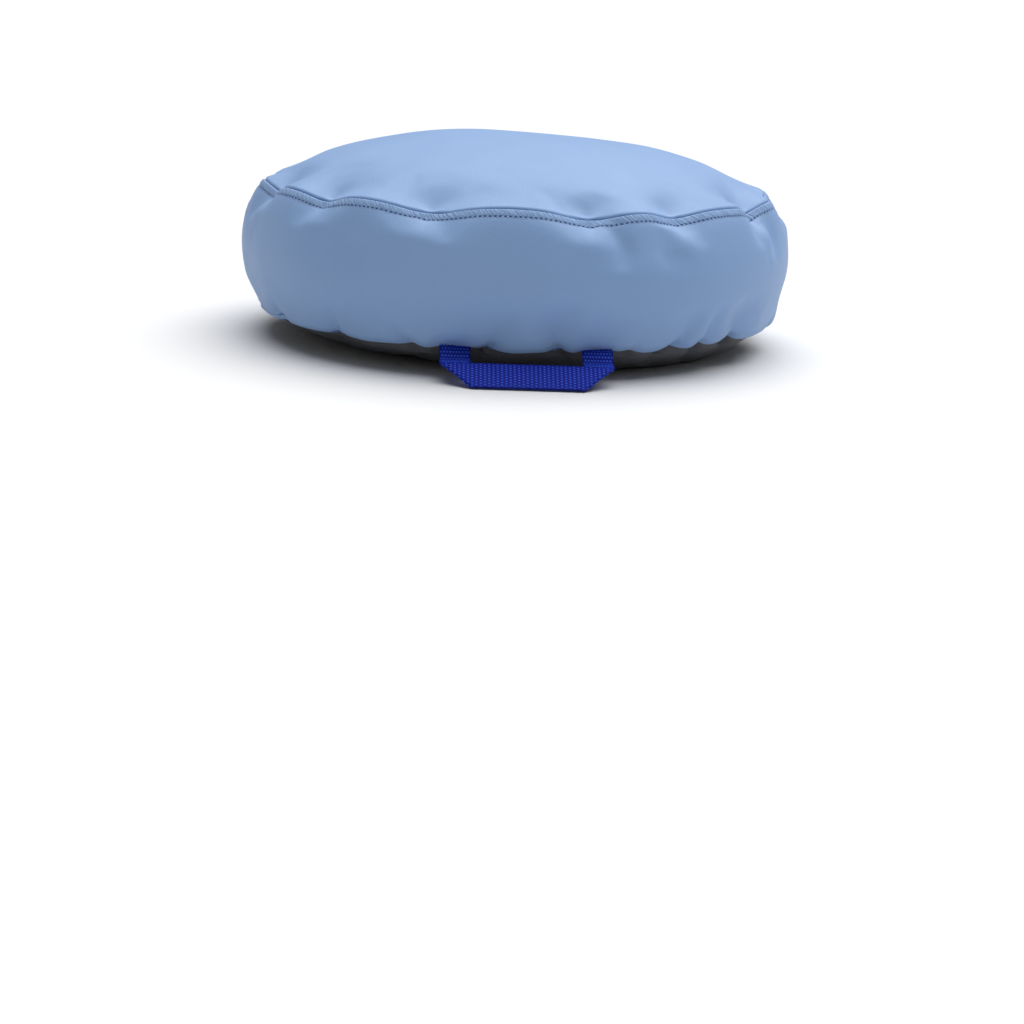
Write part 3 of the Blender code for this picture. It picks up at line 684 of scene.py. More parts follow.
# Blow the cage up as cloth, held at its seams and on the floor. The evenly swollen part of the
# movement is mostly taken off again, so that the wrinkles stay and the outline keeps its size.
def inflate(obj, rings):
    start = [v.co.copy() for v in obj.data.vertices]
    held = obj.vertex_groups.new(name="held")
    eased = obj.vertex_groups.new(name="eased")
    runs = obj.data.attributes["run"].data
    for vertex in obj.data.vertices:
        run = runs[vertex.index].value
        onSeam = min(abs(run - topSeamRun), abs(run - baseSeamRun)) < 1e-5
        atZip = abs(run - baseSeamRun) < zipper["slotHalf"] + 1e-5 and inZip(bearing(vertex.co), 0.02)
        onFloor = run > baseSeamRun and vertex.co.z < 0.0004
        if onSeam or atZip or onFloor:
            held.add([vertex.index], 1.0, "REPLACE")
        seam = min(abs(run - topSeamRun), abs(run - baseSeamRun))
        eased.add([vertex.index], math.exp(-((seam / cloth["easeReach"]) ** 2)), "REPLACE")
    modifier = obj.modifiers.new("cloth", "CLOTH")
    settings = modifier.settings
    settings.quality = 5
    settings.mass = 0.4
    settings.tension_stiffness = settings.compression_stiffness = 40
    settings.shear_stiffness = 20
    settings.bending_stiffness = cloth["bending"]
    settings.tension_damping = settings.compression_damping = settings.shear_damping = 15
    settings.use_pressure = True
    settings.uniform_pressure_force = cloth["pressure"]
    settings.vertex_group_mass = "held"
    settings.vertex_group_shrink = "eased"  # near the seams the cloth is larger than the shape it fills
    settings.shrink_max = cloth["ease"]
    settings.effector_weights.gravity = 0
    modifier.collision_settings.use_collision = False
    modifier.point_cache.frame_start = 1
    modifier.point_cache.frame_end = cloth["frames"]
    scene = bpy.context.scene
    for step in range(1, cloth["frames"] + 1):
        scene.frame_set(step)
    settle(obj)
    scene.frame_set(1)
    moves = [v.co - s for v, s in zip(obj.data.vertices, start)]
    sums = {}
    for index, move in enumerate(moves):
        key = rings[index]
        out = Vector((start[index].x, start[index].y, 0)).normalized()
        total, count = sums.get(key, (Vector((0, 0)), 0))
        sums[key] = (total + Vector((move.dot(out), move.z)), count + 1)
    for index, vertex in enumerate(obj.data.vertices):
        total, count = sums[rings[index]]
        even = total / count * (1 - cloth["kept"])
        out = Vector((start[index].x, start[index].y, 0)).normalized()
        move = moves[index] - out * even.x - Vector((0, 0, even.y))
        if move.length > cloth["cap"]:
            move *= cloth["cap"] / move.length
        vertex.co = start[index] + move
        if vertex.co.z < 0:
            vertex.co.z = 0


# Sink the seams and the stitch lines, and puff the strip between a seam and its stitching
def carve(shape, runLayer, inwardLayer):
    shape.normal_update()
    normals = {v: v.normal.copy() for v in shape.verts}
    for vertex, normal in normals.items():
        run = vertex[runLayer]
        degrees = bearing(vertex.co)
        vertex[inwardLayer] = -normal
        sink = cover["ditch"] * math.exp(-(((run - topSeamRun) / cover["ditchWidth"]) ** 2))
        if not inZip(degrees, 0.01):
            sink += cover["ditch"] * math.exp(-(((run - baseSeamRun) / cover["ditchWidth"]) ** 2))
        below = run - topSeamRun
        stitch = sewing["topstitchDrop"]
        if 0 < below < stitch:
            sink -= cover["puff"] * math.sin(math.pi * below / stitch) ** 0.8
        sink += cover["stitchGroove"] * math.exp(-(((below - stitch) / cover["stitchGrooveWidth"]) ** 2))
        sharp = [(middle, depth * puckers["crease"], puckers["creaseHalf"]) for middle, depth, _ in topDips]
        reach = 0.012 if below > 0 else 0.009
        sink += dipsAt(degrees, sharp, 1.2) * math.exp(-((below / reach) ** 2)) * min(1.0, (below / 0.006) ** 2)
        sharp = [(middle, depth * puckers["footCrease"], puckers["creaseHalf"]) for middle, depth, _ in baseFolds]
        above = baseSeamRun - run
        fade = math.exp(-((above / puckers["footCreaseReach"]) ** 2)) * (above > -0.008)
        sink += dipsAt(leaning(degrees, above), sharp, 1.2) * fade
        vertex.co -= normal * sink
        if vertex.co.z < 0:
            vertex.co.z = 0


# Cover coordinates: stitches round from the back, and metres down from the seam that is given
def coverUv(shape, runLayer, seamRun):
    layer = shape.loops.layers.uv.new("UVMap")
    stitches = stitchCount()
    for face in shape.faces:
        middle = math.radians(bearing(face.calc_center_median()))
        for loop in face.loops:
            angle = math.radians(bearing(loop.vert.co))
            angle += math.tau * round((middle - angle) / math.tau)
            loop[layer].uv = (angle / math.tau * stitches + stitches, loop.vert[runLayer] - seamRun)


def stitchCount():
    return round(math.tau * cover["seamRadius"] / sewing["pitch"])


# One panel of the cover: the faces between two runs, with their edges turned in and a thickness
def coverPanel(name, joined, runLayer, inwardLayer, first, last, material):
    shape = joined.copy()
    runLayer = shape.verts.layers.float["run"]
    inwardLayer = shape.verts.layers.float_vector["inward"]
    drop = []
    for face in shape.faces:
        run = sum(v[runLayer] for v in face.verts) / len(face.verts)
        inSlot = abs(run - baseSeamRun) < zipper["slotHalf"] and inZip(bearing(face.calc_center_median()))
        if not first < run < last or inSlot:
            drop.append(face)
    bmesh.ops.delete(shape, geom=drop, context="FACES")
    coverUv(shape, runLayer, topSeamRun if last <= baseSeamRun else baseSeamRun)
    edges = [e for e in shape.edges if e.is_boundary]
    for depth in (0.25, 0.75):
        grown = bmesh.ops.extrude_edge_only(shape, edges=edges)["geom"]
        for vertex in (g for g in grown if isinstance(g, bmesh.types.BMVert)):
            vertex.co += vertex[inwardLayer] * cover["turnIn"] * depth
        edges = [g for g in grown if isinstance(g, bmesh.types.BMEdge)]
    piece = newPiece(name, shape, material, math.radians(70))
    wall = piece.modifiers.new("thickness", "SOLIDIFY")
    wall.thickness = cover["thick"]
    wall.offset = -1
    settle(piece)
    print(name, sum(len(face.vertices) - 2 for face in piece.data.polygons), "triangles")
    return piece


# The points of one ring of the finished cover, in order round from the back, with their normals
def ringPoints(joined, runLayer, run):
    ring = [v for v in joined.verts if abs(v[runLayer] - run) < 2e-5]
    ring.sort(key=lambda v: bearing(v.co))
    return [(bearing(v.co), v.co.copy(), v.normal.copy()) for v in ring]


def onRing(ring, degrees):
    degrees = (degrees + 180) % 360 - 180
    low, high = 0, len(ring)
    while high - low > 1:
        middle = (low + high) // 2
        low, high = (middle, high) if ring[middle][0] <= degrees else (low, middle)
    first, second = ring[low], ring[(low + 1) % len(ring)]
    span = (second[0] - first[0]) % 360
    share = ((degrees - first[0]) % 360) / span if span else 0
    share = min(max(share, 0.0), 1.0)
    return first[1].lerp(second[1], share), first[2].lerp(second[2], share).normalized()


# A row of separate stitches, each dipping into a needle hole at both ends
def stitchRow(shape, ring, keep):
    stitches = stitchCount()
    radius = sewing["thread"]
    lift = (-0.9, 0.35, 0.62, 0.35, -0.9)
    for i in range(stitches):
        middle = (i + 1) * 360 / stitches
        if not keep((middle + 180) % 360 - 180):
            continue
        loops = []
        for k, rise in enumerate(lift):
            share = (k / (len(lift) - 1) - 0.5) * 0.78
            spot, normal = onRing(ring, middle + share * 360 / stitches)
            ahead, _ = onRing(ring, middle + (share + 0.1) * 360 / stitches)
            along = (ahead - spot).normalized()
            side = along.cross(normal).normalized()
            thin = 0.75 if abs(rise) > 0.8 else 1.0
            centre = spot + normal * rise * radius
            loops.append([
                shape.verts.new(centre + (side * math.cos(a) + normal * math.sin(a)) * radius * thin)
                for a in (j * math.tau / 6 for j in range(6))
            ])
        for before, after in zip(loops, loops[1:]):
            edges = []
            for loop in (before, after):
                for a, b in zip(loop, loop[1:] + loop[:1]):
                    edges.append(shape.edges.get((a, b)) or shape.edges.new((a, b)))
            bmesh.ops.bridge_loops(shape, edges=edges)
        shape.faces.new(loops[0])
        shape.faces.new(loops[-1])


# A ring that stops at the zip, put in order from one end of the zip round to the other
def afterZip(ring):
    gaps = [((ring[(i + 1) % len(ring)][0] - spot[0]) % 360, i) for i, spot in enumerate(ring)]
    last = max(gaps)[1]
    return ring[last + 1 :] + ring[: last + 1]


# A seam's own thread, between the two layers that are turned in
def threadAlong(name, ring, closed, material):
    curve = bpy.data.curves.new(name, "CURVE")
    curve.dimensions = "3D"
    curve.bevel_depth = sewing["thread"]
    curve.bevel_resolution = 1
    curve.use_fill_caps = True
    spline = curve.splines.new("POLY")
    spline.points.add(len(ring) - 1)
    spline.use_cyclic_u = closed
    for spot, (_, point, normal) in zip(spline.points, ring):
        spot.co = (*(point - normal * sewing["seamDepth"]), 1)
    return meshedCurve(name, curve, material)


def meshedCurve(name, curve, material):
    obj = bpy.data.objects.new(name, curve)
    bpy.context.scene.collection.objects.link(obj)
    mesh = bpy.data.meshes.new_from_object(obj)
    bpy.data.objects.remove(obj)
    mesh.name = name
    mesh.shade_smooth()
    piece = bpy.data.objects.new(name, mesh)
    bpy.context.scene.collection.objects.link(piece)
    return dress(piece, material)


def makeCover():
    shape, runLayer = coverCage()
    pucker(shape, runLayer)
    rings = [round(v[runLayer], 4) for v in shape.verts]
    cage = newPiece("coverCage", shape, bpy.data.materials.new("cage"))
    inflate(cage, rings)
    print("cover blown up:", len(cage.data.vertices), "points")
    smooth = cage.modifiers.new("smooth", "SUBSURF")
    smooth.levels = smooth.render_levels = 1
    settle(cage)
    joined = bmesh.new()
    joined.from_mesh(cage.data)
    bpy.data.objects.remove(cage)
    runLayer = joined.verts.layers.float["run"]
    inwardLayer = joined.verts.layers.float_vector.new("inward")
    carve(joined, runLayer, inwardLayer)
    joined.normal_update()

    stitches = stitchCount()
    zipFirst = (math.degrees(zipper["start"]) + 90) / 360 * stitches + stitches
    zipLast = zipFirst + math.degrees(zipper["sweep"]) / 360 * stitches
    bandRun = baseSeamRun - topSeamRun - sewing["zipStitchDrop"]
    panels = {}
    topMaterial = vinylMaterial("leatherGrainVinyl")
    bandMaterial = vinylMaterial("leatherGrainVinylStitched", [
        (sewing["topstitchDrop"], 0, 3 * stitches), (bandRun, zipFirst, zipLast), (bandRun, zipFirst - stitches, zipLast - stitches),
    ])
    panels["top"] = coverPanel("topPanel", joined, runLayer, inwardLayer, -1, topSeamRun, topMaterial)
    panels["band"] = coverPanel("sideBand", joined, runLayer, inwardLayer, topSeamRun, baseSeamRun, bandMaterial)
    panels["base"] = coverPanel("basePanel", joined, runLayer, inwardLayer, baseSeamRun, 9, canvasMaterial())
    for key, node in (("top", "top_panel"), ("band", "side_band"), ("base", "bottom_panel")):
        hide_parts(node)
        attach(panels[key], "cushion")

    matched = threadMaterial("matchedNylonThread", sewing["threadColour"])
    shape = bmesh.new()
    stitchRow(shape, ringPoints(joined, runLayer, topSeamRun + sewing["topstitchDrop"]), lambda degrees: True)
    topstitch = newPiece("topstitching", shape, matched)
    rows = [topstitch]
    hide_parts("topstitch_thread")
    for name, node, side in (("zipStitchingBand", "zip_stitch_upper", -1), ("zipStitchingBase", "zip_stitch_lower", 1)):
        shape = bmesh.new()
        ring = ringPoints(joined, runLayer, baseSeamRun + side * sewing["zipStitchDrop"])
        stitchRow(shape, ring, lambda degrees: inZip(degrees, -0.01))
        row = newPiece(name, shape, matched)
        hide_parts(node)
        rows.append(row)
    strong = threadMaterial("bondedSeamThread", "#5F7FB8")
    topRing = ringPoints(joined, runLayer, topSeamRun)
    baseRing = [spot for spot in ringPoints(joined, runLayer, baseSeamRun) if not inZip(spot[0], 0.03)]
    for name, node, ring, closed in (
        ("topSeamThread", "seam_thread_top", topRing, True),
        ("baseSeamThread", "seam_thread_bottom", afterZip(baseRing), False),
    ):
        thread = threadAlong(name, ring, closed, strong)
        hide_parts(node)
        rows.append(thread)
    for row in rows:
        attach(row, "cushion")
    skin = BVHTree.FromBMesh(joined)
    joined.free()
    print("cover panels and stitching made")
    return skin


# The grip's slope at its outer edge, for a loop that bends evenly from the seam to the floor
def slopeToFloor():
    drop = joints["handle_hinge"]["pos_m"][2] - webbing["thick"] / 2 - webbing["floorGap"]
    low, high = webbing["exitSlope"] + 0.001, math.radians(89)
    for _ in range(40):
        middle = (low + high) / 2
        fall = webbing["reach"] * (math.cos(webbing["exitSlope"]) - math.cos(middle)) / (middle - webbing["exitSlope"])
        low, high = (middle, high) if fall < drop else (low, middle)
    return low


# Fold whatever lies past a crease back over itself, round a small radius
def foldOver(point, onCrease, past, radius):
    across = (point - onCrease).dot(past)
    if across <= 0:
        return point
    flat = point - past * across
    arc = math.pi * radius
    turn = min(across / radius, math.pi)
    beyond = max(across - arc, 0.0)
    reach = math.sin(turn) * (radius - point.z) - beyond
    return Vector((flat.x + past.x * reach, flat.y + past.y * reach, radius - math.cos(turn) * (radius - point.z)))


# The raised yarns of the weave, from 0 in the hollows to 1 on the crowns
def yarnRise(along, across):
    row = along / webbing["rowPitch"]
    yarn = across / webbing["yarnPitch"] + 0.5 * (round(row) % 2)
    return (0.5 + 0.5 * math.cos(math.tau * row)) ** 0.7 * (0.5 + 0.5 * math.cos(math.tau * yarn)) ** 0.8


# One length of webbing: in through the seam, out, folded at 45 degrees into the grip, and back
def makeHandle():
    half = webbing["handGap"] / 2
    width, reach, radius = webbing["width"], webbing["reach"], webbing["foldRadius"]
    gripIn = reach - width
    length = 2 * reach + webbing["handGap"]
    tail = webbing["tail"]
    rows = round((length + 2 * tail) / webbing["cell"])
    shape = bmesh.new()
    bmesh.ops.create_grid(shape, x_segments=round(width / webbing["cell"]), y_segments=rows, size=0.5)
    riseLayer = shape.verts.layers.float.new("rise")
    uvLayer = shape.loops.layers.uv.new("UVMap")
    for face in shape.faces:
        for loop in face.loops:
            loop[uvLayer].uv = (loop.vert.co.x * width, loop.vert.co.y * (length + 2 * tail))
    slack = radius * (math.pi / 2 - 1)  # what each fold's round takes up
    firstCrease = Vector((-half - width, gripIn, 0))
    firstPast = Vector((-1, 1, 0)).normalized()
    secondCrease = Vector((-half, 2 * half + width + gripIn, 0))
    secondPast = Vector((1, 1, 0)).normalized()
    bend = (slopeToFloor() - webbing["exitSlope"]) / reach
    exit = webbing["exitSlope"]
    hinge = Vector(joints["handle_hinge"]["pos_m"])
    for vertex in shape.verts:
        across, along = vertex.co.x * width, (vertex.co.y + 0.5) * (length + 2 * tail) - tail
        rise = yarnRise(along, across)
        edge = min(1.0, (width / 2 - abs(across)) / 0.0012)
        vertex[riseLayer] = rise * edge
        point = Vector((across - half - width / 2, along, webbing["relief"] * (rise * edge - 0.5)))
        point = foldOver(point, secondCrease - secondPast * (radius + slack), secondPast, radius)
        point = foldOver(point, firstCrease - firstPast * radius, firstPast, radius)
        point.z -= webbing["duck"] * math.exp(-(((point.y - webbing["duckAt"]) / webbing["duckReach"]) ** 2))
        slope = exit + bend * max(point.y, 0)
        out = (math.sin(slope) - math.sin(exit)) / bend + min(point.y, 0) * math.cos(exit) + point.z * math.sin(slope)
        up = (math.cos(slope) - math.cos(exit)) / bend - min(point.y, 0) * math.sin(exit) + point.z * math.cos(slope)
        vertex.co = Vector((point.x, hinge.y - out, hinge.z + up))
    bmesh.ops.recalc_face_normals(shape, faces=shape.faces)
    piece = newPiece("carryHandle", shape, webbingMaterial(), math.radians(80))
    wall = piece.modifiers.new("thickness", "SOLIDIFY")
    wall.thickness = webbing["thick"] * 0.8
    wall.offset = 0
    settle(piece)
    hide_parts("handle_webbing", "handle_tail_left", "handle_tail_right")
    into = Vector((0, math.cos(exit), math.sin(exit)))
    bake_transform(piece, "cushion", "handle", start=tuple(hinge + into * 0.003), end=tuple(hinge - into * 0.004))
    print("handle folded:", len(piece.data.polygons), "faces")


# Axes of the zip at an angle round from +X: (along, across towards the band, out), and its middle
def zipAxes(angle):
    pull = joints["pull_hinge"]
    rest = Vector(pull["pos_m"])
    across = Vector(pull["axis"]).normalized()
    along = Vector((-rest.y, rest.x, 0)).normalized()
    out = along.cross(across).normalized()
    out = out if out.z < 0 else -out
    middle = rest - out * zipper["pullAxisOut"]
    turn = Matrix.Rotation(angle - math.atan2(middle.y, middle.x), 3, "Z")
    return turn @ along, turn @ across, turn @ out, turn @ middle


# The two rows of nylon teeth, each one long flattened coil
def makeCoils():
    material = coilMaterial()
    _, _, _, middle = zipAxes(zipper["start"])
    inset = zipper["stop"] / middle.xy.length
    turns = round((zipper["sweep"] - 2 * inset) * middle.xy.length / zipper["toothPitch"])
    perTurn = 8
    halfWide = zipper["coilWidth"] / 2 - zipper["wire"]
    halfHigh = zipper["coilHeight"] / 2 - zipper["wire"]
    for name, node, side in (("zipTeethBand", "zip_coil_upper", 1), ("zipTeethBase", "zip_coil_lower", -1)):
        curve = bpy.data.curves.new(name, "CURVE")
        curve.dimensions = "3D"
        curve.bevel_depth = zipper["wire"]
        curve.bevel_resolution = 1
        curve.use_fill_caps = True
        spline = curve.splines.new("POLY")
        count = turns * perTurn
        spline.points.add(count)
        for i, spot in enumerate(spline.points):
            along, across, out, centre = zipAxes(zipper["start"] + inset + (zipper["sweep"] - 2 * inset) * i / count)
            turn = math.tau * (i / perTurn + (0.25 if side < 0 else 0))
            sideways = side * (zipper["coilInner"] + zipper["coilWidth"] / 2) + halfWide * math.cos(turn) * side
            spot.co = (*(centre + across * sideways + out * halfHigh * math.sin(turn)), 1)
        teeth = meshedCurve(name, curve, material)
        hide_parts(node)
        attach(teeth, "cushion")
    print("zip teeth wound:", turns, "each side")


slider = {
    "length": 0.010,
    "frontHalf": 0.0042,
    "backHalf": 0.0032,
    "plateIn": 0.0014,
    "plateOut": 0.0023,
    "rim": 0.0008,
    "rimIn": 0.0007,
    "postHalf": 0.00035,
    "bailHalf": 0.0009,
    "bailReach": 0.0022,
    "bailThick": 0.0008,
    "edge": 0.00022,
}
pullTab = {"length": 0.022, "width": 0.0075, "thick": 0.0012, "neck": 0.0034, "edge": 0.0003, "hole": 0.0014}


# A flat outline given a thickness between two heights, with its edges rounded
def plate(shape, outlinePoints, low, high, edge):
    start = len(shape.verts)
    face = shape.faces.new([shape.verts.new((x, y, low)) for x, y in outlinePoints])
    grown = bmesh.ops.extrude_face_region(shape, geom=[face])["geom"]
    lifted = [g for g in grown if isinstance(g, bmesh.types.BMVert)]
    bmesh.ops.translate(shape, verts=lifted, vec=(0, 0, high - low))
    shape.verts.ensure_lookup_table()
    mine = set(shape.verts[start:])
    faces = [f for f in shape.faces if f.verts[0] in mine]
    bmesh.ops.recalc_face_normals(shape, faces=faces)
    edges = [e for e in shape.edges if e.verts[0] in mine and e.verts[1] in mine]
    bmesh.ops.bevel(
        shape, geom=edges, offset=edge, segments=2, affect="EDGES", profile=0.5, material=-1, clamp_overlap=True
    )


def makeSlider():
    along, across, out, middle = zipAxes(math.atan2(joints["pull_hinge"]["pos_m"][1], joints["pull_hinge"]["pos_m"][0]))
    place = Matrix([along, across, out]).transposed().to_4x4()
    place.translation = middle
    half, front, back = slider["length"] / 2, slider["frontHalf"], slider["backHalf"]
    arc = [i * math.pi / 6 for i in range(7)]
    body = [(half, back * 0.55), (half * 0.55, back), (-half * 0.2, front), (-half * 0.8, front), (-half, front * 0.8)]
    body += [(x, -y) for x, y in reversed(body)]
    shape = bmesh.new()
    for low, high in ((slider["plateIn"], slider["plateOut"]), (-slider["plateOut"], -slider["plateIn"])):
        plate(shape, body, low, high, slider["edge"])
    for side in (-1, 1):
        wall = [(half * 0.5, back - slider["rim"]), (half * 0.5, back), (-half * 0.2, front), (-half * 0.75, front)]
        wall += [(-half * 0.75, front - slider["rim"]), (-half * 0.2, front - slider["rim"])]
        wall = [(x, side * y) for x, y in wall]
        plate(shape, wall, slider["rimIn"], slider["plateIn"] + slider["edge"], 0.0001)
        plate(shape, wall, -slider["plateIn"] - slider["edge"], -slider["rimIn"], 0.0001)
    post = [(-half * 0.95, 0), (-half * 0.5, slider["postHalf"]), (-half * 0.3, 0), (-half * 0.5, -slider["postHalf"])]
    plate(shape, post, -slider["plateIn"] - slider["edge"], slider["plateIn"] + slider["edge"], 0.00008)
    hoop = shape.verts.new((slider["bailReach"], -slider["bailHalf"], slider["plateOut"] - slider["edge"]))
    section = [hoop]
    for x, y in ((0, 1), (1, 1), (1, 0)):
        section.append(shape.verts.new(hoop.co + Vector((x * slider["bailThick"], 2 * y * slider["bailHalf"], 0))))
    face = shape.faces.new(section)
    loopGeometry = [face, *face.edges, *face.verts]
    before = set(shape.verts)
    bmesh.ops.spin(
        shape, geom=loopGeometry, cent=(0, 0, slider["plateOut"] - slider["edge"]), axis=(0, -1, 0),
        angle=math.pi, steps=12,
    )
    bail = [v for v in shape.verts if v not in before or v in section]
    stretch = (zipper["pullAxisOut"] + pullTab["thick"] / 2 + 0.0004 + slider["bailThick"] - slider["plateOut"]) / (
        slider["bailReach"] + slider["bailThick"]
    )
    for vertex in bail:
        vertex.co.z = slider["plateOut"] - slider["edge"] + (vertex.co.z - slider["plateOut"] + slider["edge"]) * stretch
    bmesh.ops.recalc_face_normals(shape, faces=shape.faces)
    bmesh.ops.transform(shape, matrix=place, verts=shape.verts)
    bmesh.ops.recalc_face_normals(shape, faces=shape.faces)
    nickel = nickelMaterial()
    runner = newPiece("zipRunner", shape, nickel, math.radians(35))
    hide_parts("zip_slider")
    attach(runner, "zip_slider")

    wide, neck, thick = pullTab["width"] / 2, pullTab["neck"] / 2 + 0.0008, pullTab["thick"] / 2
    tip = pullTab["length"] - wide
    outer = [(-thick, -wide * 0.8), (-thick, wide * 0.8), (0.0035, wide), (0.008, neck), (tip - 0.002, wide * 0.92)]
    outer += [(tip + wide * math.sin(a), wide * 0.92 * math.cos(a)) for a in arc[1:-1]]
    outer += [(tip - 0.002, -wide * 0.92), (0.008, -neck), (0.0035, -wide)]
    shape = bmesh.new()
    plate(shape, outer, -thick, thick, pullTab["edge"])
    tab = newPiece("zipPullTab", shape, nickel, math.radians(35))
    shape = bmesh.new()
    holeEnd = slider["bailReach"] + slider["bailThick"] + 0.0014
    plate(shape, [
        (thick, -pullTab["hole"]), (thick, pullTab["hole"]), (holeEnd, pullTab["hole"]), (holeEnd, -pullTab["hole"]),
    ], -0.003, 0.003, 0.0003)
    cutter = newPiece("pullHoleCutter", shape, nickel)
    shape = bmesh.new()
    for i in range(4):
        low = pullTab["length"] * (0.58 + 0.07 * i)
        ridge = [(low, -wide * 0.6), (low, wide * 0.6), (low + 0.0007, wide * 0.6), (low + 0.0007, -wide * 0.6)]
        plate(shape, ridge, thick * 0.6, thick * 1.3, 0.0001)
    ridges = newPiece("pullRidges", shape, nickel)
    for other, operation in ((cutter, "DIFFERENCE"), (ridges, "UNION")):
        cut = tab.modifiers.new("cut", "BOOLEAN")
        cut.operation = operation
        cut.object = other
    settle(tab)
    for other in (cutter, ridges):
        bpy.data.objects.remove(other)
    # the tab's length hangs out from the bail, and its face looks along the zip
    hang = Matrix([out, across, along]).transposed().to_4x4()
    hang.translation = Vector(joints["pull_hinge"]["pos_m"])
    tab.data.transform(hang)
    tab.data.flip_normals() if hang.determinant() < 0 else None
    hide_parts("zip_pull")
    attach(tab, "zip_pull")
    for node in ("zip_stop_closed", "zip_stop_open"):
        dress(frame["nodes"][node], nickel)
    print("zip runner and pull tab made")


filling = {
    "steps": 220,
    "gap": 0.0045,
    "tries": 8,
    "middle": (0, 0, 0.08),
    "lump": 0.0006,
    "foamRadius": 0.219,
    "foamEdge": 0.018,
    "sideSteps": 14,
}


# A closed profile of (radius, height) points turned round the middle, and made slightly lumpy
def turnedPad(name, profile, material, lump, closed, skin):
    shape = bmesh.new()
    verts = [shape.verts.new((p[0], 0, p[1])) for p in profile]
    edges = [shape.edges.new(pair) for pair in zip(verts, verts[1:])]
    if closed:
        edges.append(shape.edges.new((verts[-1], verts[0])))
    bmesh.ops.spin(
        shape, geom=[*verts, *edges], cent=(0, 0, 0), axis=(0, 0, 1), angle=math.tau,
        steps=filling["steps"], use_merge=True,
    )
    bmesh.ops.remove_doubles(shape, verts=shape.verts, dist=1e-5)
    bmesh.ops.recalc_face_normals(shape, faces=shape.faces)
    shape.normal_update()
    for vertex in shape.verts:
        vertex.co += vertex.normal * (noise.noise(vertex.co * 55) - 0.6) * lump
        for _ in range(filling["tries"]):  # towards the middle, until it is well inside the cover
            nearest, normal, _, _ = skin.find_nearest(vertex.co)
            over = (vertex.co - nearest).dot(normal) + filling["gap"]
            if over <= 0:
                break
            vertex.co += (Vector(filling["middle"]) - vertex.co).normalized() * over
    return newPiece(name, shape, material, math.radians(50))


# Inwards from the cover's outline, between two runs
def insetOutline(first, last, depth, steps=14):
    points = []
    for i in range(steps + 1):
        run = first + (last - first) * i / steps
        ahead = alongOutline(min(run + 0.0005, outlineRuns[-1])) - alongOutline(max(run - 0.0005, 0))
        inward = Vector((ahead.y, -ahead.x)).normalized()
        points.append(alongOutline(run) + inward * depth)
    return points


def makeFilling(skin):
    foam, fibre = foamMaterial(), waddingMaterial()
    low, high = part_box("foam_core")[0][2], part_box("foam_core")[1][2]
    edge, radius = filling["foamEdge"], filling["foamRadius"]
    corner = [(radius - edge + edge * math.sin(i * math.pi / 12), edge - edge * math.cos(i * math.pi / 12)) for i in range(7)]
    height = high - low - 2 * edge
    wall = [(radius, high - edge - height * i / filling["sideSteps"]) for i in range(1, filling["sideSteps"])]
    profile = [(0, high)] + [(x, high - z) for x, z in corner] + wall
    profile += [(x, low + z) for x, z in reversed(corner)] + [(0, low)]
    core = turnedPad("foamCore", profile, foam, 0.0003, False, skin)

    gap = filling["gap"]
    crownEnd = next(run for point, run in zip(outline, outlineRuns) if point.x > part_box("wadding_top")[1][0])
    dome = insetOutline(0, crownEnd, gap)
    dome[0].x = 0
    profile = [*dome, Vector((dome[-1].x, high + 0.0006)), Vector((0, high + 0.0006))]
    crownPad = turnedPad("crownWadding", profile, fibre, filling["lump"], False, skin)

    sideLow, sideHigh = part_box("wadding_side")[0][2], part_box("wadding_side")[1][2]
    spans = [run for point, run in zip(outline, outlineRuns) if topSeamRun < run < baseSeamRun and sideLow < point.y < sideHigh]
    outer = insetOutline(spans[0], spans[-1], gap)
    inner = radius + 0.0008
    profile = [*outer, Vector((inner, outer[-1].y)), Vector((inner, outer[0].y))]
    sidePad = turnedPad("sideWadding", profile, fibre, filling["lump"], True, skin)

    baseStart = next(run for point, run in zip(outline, outlineRuns) if run > baseSeamRun and point.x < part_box("wadding_bottom")[1][0])
    dish = insetOutline(baseStart, outlineRuns[-1], gap)
    dish[-1].x = 0
    profile = [Vector((0, low - 0.0006)), Vector((dish[0].x, low - 0.0006)), *dish]
    basePad = turnedPad("baseWadding", profile, fibre, filling["lump"], False, skin)

    pads = ((core, "foam_core", "foam", 1.0), (crownPad, "wadding_top", "wadding", 0.8))
    pads += ((sidePad, "wadding_side", "wadding", 0.8), (basePad, "wadding_bottom", "wadding", 0.8))
    for piece, node, slot, fill in pads:
        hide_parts(node)
        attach(piece, "cushion")
    print("foam and wadding made")


def dressCadNodes():
    tape = zipTapeMaterial()
    for node in ("zip_tape_upper", "zip_tape_lower"):
        dress(frame["nodes"][node], tape)


studio = {
    "azimuth": math.radians(-3.3),
    "distance": 1.875,
    "height": 0.317,
    "pitch": math.radians(-14.6),
    "yaw": math.radians(-0.23),
    "roll": math.radians(2.5),
    "lens": 71.4,
    "floor": "#E8E8E8",
    "surround": 0.17,
    "backdrop": 25,  # radius of the white dome
    "overhead": 3.8,
    "overheadTilt": math.radians(16),  # it leans from behind
    "overheadLean": math.radians(11),  # and from the right
    "overheadSoftness": math.radians(75),
}


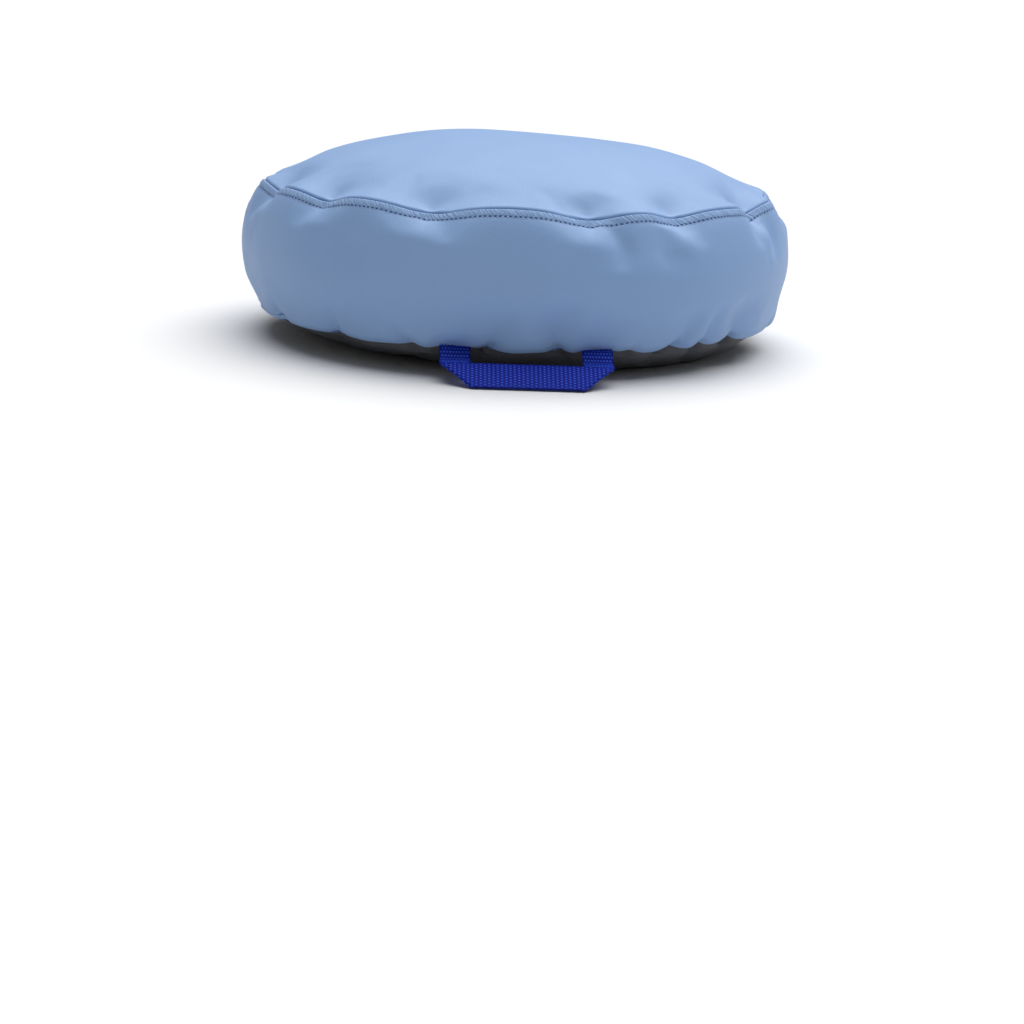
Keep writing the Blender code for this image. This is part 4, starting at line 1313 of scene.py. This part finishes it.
def makeStudio():
    scene = bpy.context.scene
    scene.view_settings.view_transform = "Standard"
    camera = bpy.data.objects.new("camera", bpy.data.cameras.new("camera"))
    scene.collection.objects.link(camera)
    camera.data.lens = studio["lens"]
    camera.data.sensor_width = 36
    turn = Matrix.Rotation(studio["azimuth"], 4, "Z")
    camera.matrix_world = (
        turn
        @ Matrix.Translation((0, -studio["distance"], studio["height"]))
        @ Matrix.Rotation(studio["yaw"], 4, "Z")
        @ Matrix.Rotation(math.pi / 2 + studio["pitch"], 4, "X")
        @ Matrix.Rotation(studio["roll"], 4, "Z")
    )
    scene.camera = camera

    world = bpy.data.worlds.new("paleRoom")
    scene.world = world
    world.use_nodes = True
    background = world.node_tree.nodes["Background"]
    background.inputs["Color"].default_value = (1, 1, 1, 1)
    background.inputs["Strength"].default_value = studio["surround"]

    material, tree, shader = newMaterial("paleSeamlessPaper")
    shader.inputs["Base Color"].default_value = hexColour(studio["floor"])
    shader.inputs["Roughness"].default_value = 0.9
    shape = bmesh.new()
    bmesh.ops.create_grid(shape, x_segments=1, y_segments=1, size=80)
    newPiece("floor", shape, material)

    # a white dome that only the camera sees, so that it lights nothing
    material, tree, shader = newMaterial("paleBackdrop")
    shader.inputs["Base Color"].default_value = (0, 0, 0, 1)
    shader.inputs["Emission Color"].default_value = (1, 1, 1, 1)
    shader.inputs["Emission Strength"].default_value = 1.0
    shape = bmesh.new()
    bmesh.ops.create_uvsphere(shape, u_segments=48, v_segments=24, radius=studio["backdrop"])
    dome = newPiece("backdrop", shape, material)
    for kind in ("diffuse", "glossy", "transmission", "volume_scatter", "shadow"):
        setattr(dome, "visible_" + kind, False)

    light = bpy.data.lights.new("overhead", "SUN")
    light.energy = studio["overhead"]
    light.angle = studio["overheadSoftness"]
    lamp = bpy.data.objects.new("overhead", light)
    scene.collection.objects.link(lamp)
    lean, tilt = studio["overheadLean"], studio["overheadTilt"]
    lamp.matrix_world = Matrix.Rotation(lean, 4, "Y") @ Matrix.Rotation(-tilt, 4, "X")
    print("studio set")


random.seed(4)
makeStudio()
skin = makeCover()
makeHandle()
makeCoils()
makeSlider()
makeFilling(skin)
dressCadNodes()
